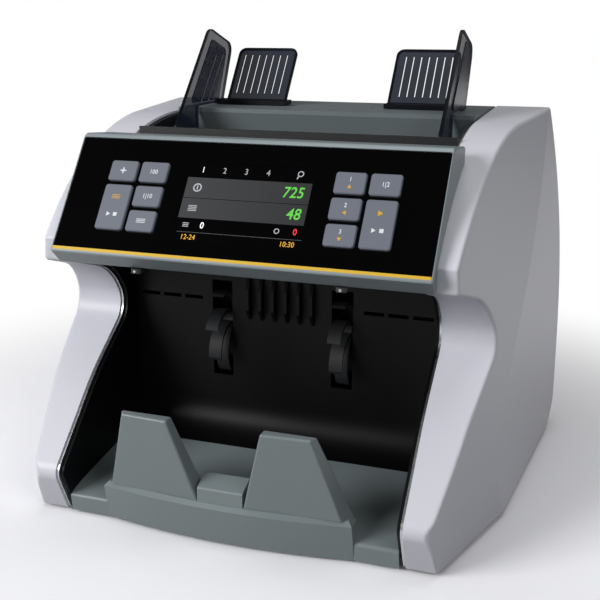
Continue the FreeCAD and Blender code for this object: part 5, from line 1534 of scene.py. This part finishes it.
@dataclass
class RearWall(SubAssembly):
    """Rear cover with its inlet, switch and ports."""

    shell: GrainedPlastic = GrainedPlastic("finish_rear", srgb(92, 100, 101), 0.42)
    black: GrainedPlastic = GrainedPlastic("finish_inlet", srgb(20, 20, 22), 0.45)
    rocker: GrainedPlastic = GrainedPlastic("finish_rocker", srgb(16, 16, 18), 0.3)
    port: BrushedMetal = BrushedMetal("finish_port", srgb(170, 170, 172), 0.3)
    mask: CircuitMask = CircuitMask("finish_board", srgb(16, 58, 36), srgb(40, 98, 64))
    screw: BrushedMetal = BrushedMetal("finish_rear_screw", srgb(60, 60, 62), 0.36)
    screw_inset: float = 8.0 * MM
    screw_heights: Triple = (50.0 * MM, 128.0 * MM, 204.0 * MM)

    def dress(self) -> None:
        """Gives the rear wall's nodes their finishes."""
        dress(("rear_cover",), self.shell)
        dress(("power_inlet",), self.black)
        dress(("power_rocker",), self.rocker)
        dress(("data_ports",), self.port)
        dress(("main_board", "power_supply"), self.mask)

    def build(self) -> None:
        """Screws down both sides of the rear wall."""
        low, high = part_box("rear_cover")
        places = [Vector((x, high.y, z)) for x in (low.x + self.screw_inset, high.x - self.screw_inset)
                  for z in self.screw_heights]
        ScrewSet("rear_screws").build(places, Vector((0, 1, 0)), self.screw, "chassis")


@dataclass(frozen=True)
class Softbox:
    """Square soft light, in metres and watts."""

    name: str
    place: Triple
    size: float
    power: float

    def build(self, target: Vector) -> None:
        """Sets the light up so that it looks at a point.

        Args:
            target: The point.
        """
        data = bpy.data.lights.new(self.name, "AREA")
        data.size = self.size
        data.energy = self.power
        light = bpy.data.objects.new(self.name, data)
        light.location = self.place
        light.rotation_mode = "QUATERNION"
        light.rotation_quaternion = (target - Vector(self.place)).to_track_quat("-Z", "Y")
        bpy.context.scene.collection.objects.link(light)


@dataclass
class Studio:
    """Floor, soft lights and camera."""

    camera_place: Triple = (0.19809, -0.55151, 0.27237)
    camera_way: Triple = (-0.3210, 0.9071, -0.2724)
    lens: float = 59.1
    sensor: float = 36.0
    near: float = 0.01
    target: Triple = (0.0, 0.0, 0.12)
    lights: Tuple[Softbox, ...] = (
        Softbox("key_light", (-1.25, -1.45, 0.9), 1.0, 33.0),
        Softbox("fill_light", (1.8, -1.4, 1.5), 1.0, 13.0),
        Softbox("top_light", (0.1, 0.2, 1.8), 1.2, 8.0))
    floor_half: float = 4.0
    floor_cells: int = 8
    floor_colour: Colour = (0.12, 0.12, 0.124)
    floor_lift: float = 9.6
    floor_scale: float = 60.0
    floor_tone: float = 0.02
    floor_roughness: float = 0.9
    floor_gloss: float = 0.1
    fade_start: float = 0.2
    fade_end: float = 0.45
    sky: float = 0.1

    def build(self) -> None:
        """Makes the whole studio."""
        bpy.context.scene.view_settings.view_transform = "Standard"
        self.build_floor()
        self.build_world()
        for light in self.lights:
            light.build(Vector(self.target))
        self.build_camera()

    def build_camera(self) -> None:
        """Camera at the photograph's place."""
        data = bpy.data.cameras.new("camera")
        data.lens = self.lens
        data.sensor_width = self.sensor
        data.clip_start = self.near
        camera = bpy.data.objects.new("camera", data)
        camera.location = self.camera_place
        camera.rotation_mode = "QUATERNION"
        camera.rotation_quaternion = Vector(self.camera_way).to_track_quat("-Z", "Y")
        bpy.context.scene.collection.objects.link(camera)
        bpy.context.scene.camera = camera

    def seen_directly(self, sheet: NodeSheet) -> Signal:
        """Finds rays that show the background: camera, mirror and see-through rays.

        Args:
            sheet: The material's nodes.

        Returns:
            One for such rays, otherwise zero.
        """
        path = sheet.add("ShaderNodeLightPath", {}, {}, "Is Camera Ray")
        for name in ("Is Glossy Ray", "Is Transmission Ray"):
            other = sheet.add("ShaderNodeLightPath", {}, {}, name)
            path = path.calc("MAXIMUM", path, other)
        return path

    def build_world(self) -> None:
        """Even pale light, white where it is seen directly."""
        world = bpy.data.worlds.new("studio")
        world.use_nodes = True
        sheet = NodeSheet(world.node_tree)
        shown = sheet.add("ShaderNodeLightPath", {}, {}, "Is Camera Ray")
        sheet.fill(world.node_tree.nodes["Background"], {
            "Color": (1.0, 1.0, 1.0), "Strength": shown * (1.0 - self.sky) + self.sky})
        bpy.context.scene.world = world

    def build_floor(self) -> None:
        """Pale floor that keeps the machine's shadow and turns white further out."""
        grid = bmesh.new()
        bmesh.ops.create_grid(
            grid, x_segments=self.floor_cells, y_segments=self.floor_cells, size=self.floor_half)
        data = bpy.data.meshes.new("floor")
        grid.to_mesh(data)
        grid.free()
        data.materials.append(self.floor_material())
        floor = bpy.data.objects.new("floor", data)
        bpy.context.scene.collection.objects.link(floor)

    def floor_material(self) -> bpy.types.Material:
        """Matt paper near the machine, plain white beyond.

        Returns:
            The material.
        """
        made = bpy.data.materials.new("finish_floor")
        made.use_nodes = True
        sheet = NodeSheet(made.node_tree)
        nodes = made.node_tree.nodes
        paper = nodes["Principled BSDF"]
        place = sheet.place()
        shown = self.seen_directly(sheet)
        tone = sheet.vary(1.0, (sheet.noise(place, self.floor_scale, detail=3.0), self.floor_tone))
        sheet.fill(paper, {
            "Base Color": sheet.tint(self.floor_colour, tone * (shown * (self.floor_lift - 1.0) + 1.0)),
            "Roughness": self.floor_roughness, "Specular IOR Level": self.floor_gloss})
        reach = sheet.add("ShaderNodeVectorMath", {"operation": "LENGTH"}, {0: place}, "Value")
        share = sheet.add("ShaderNodeMapRange", {"interpolation_type": "SMOOTHSTEP"}, {
            "Value": reach, "From Min": self.fade_start, "From Max": self.fade_end})
        white = sheet.add("ShaderNodeEmission", {}, {"Color": (1.0, 1.0, 1.0), "Strength": 1.0})
        mixed = sheet.add("ShaderNodeMixShader", {}, {
            0: share * shown, 1: Signal(sheet, paper.outputs[0]), 2: white})
        sheet.fill(nodes["Material Output"], {"Surface": mixed})
        return made


def main() -> None:
    """Dresses and builds every sub-assembly, then makes the studio."""
    logging.basicConfig(level=logging.INFO, format="%(message)s")
    for kind in (SideCovers, ControlHead, StackerPocket, Hopper, HopperGuides, DriveTrain, Chassis, RearWall):
        assembly = kind()
        assembly.dress()
        assembly.build()
    Studio().build()


if __name__ == "__main__":
    main()
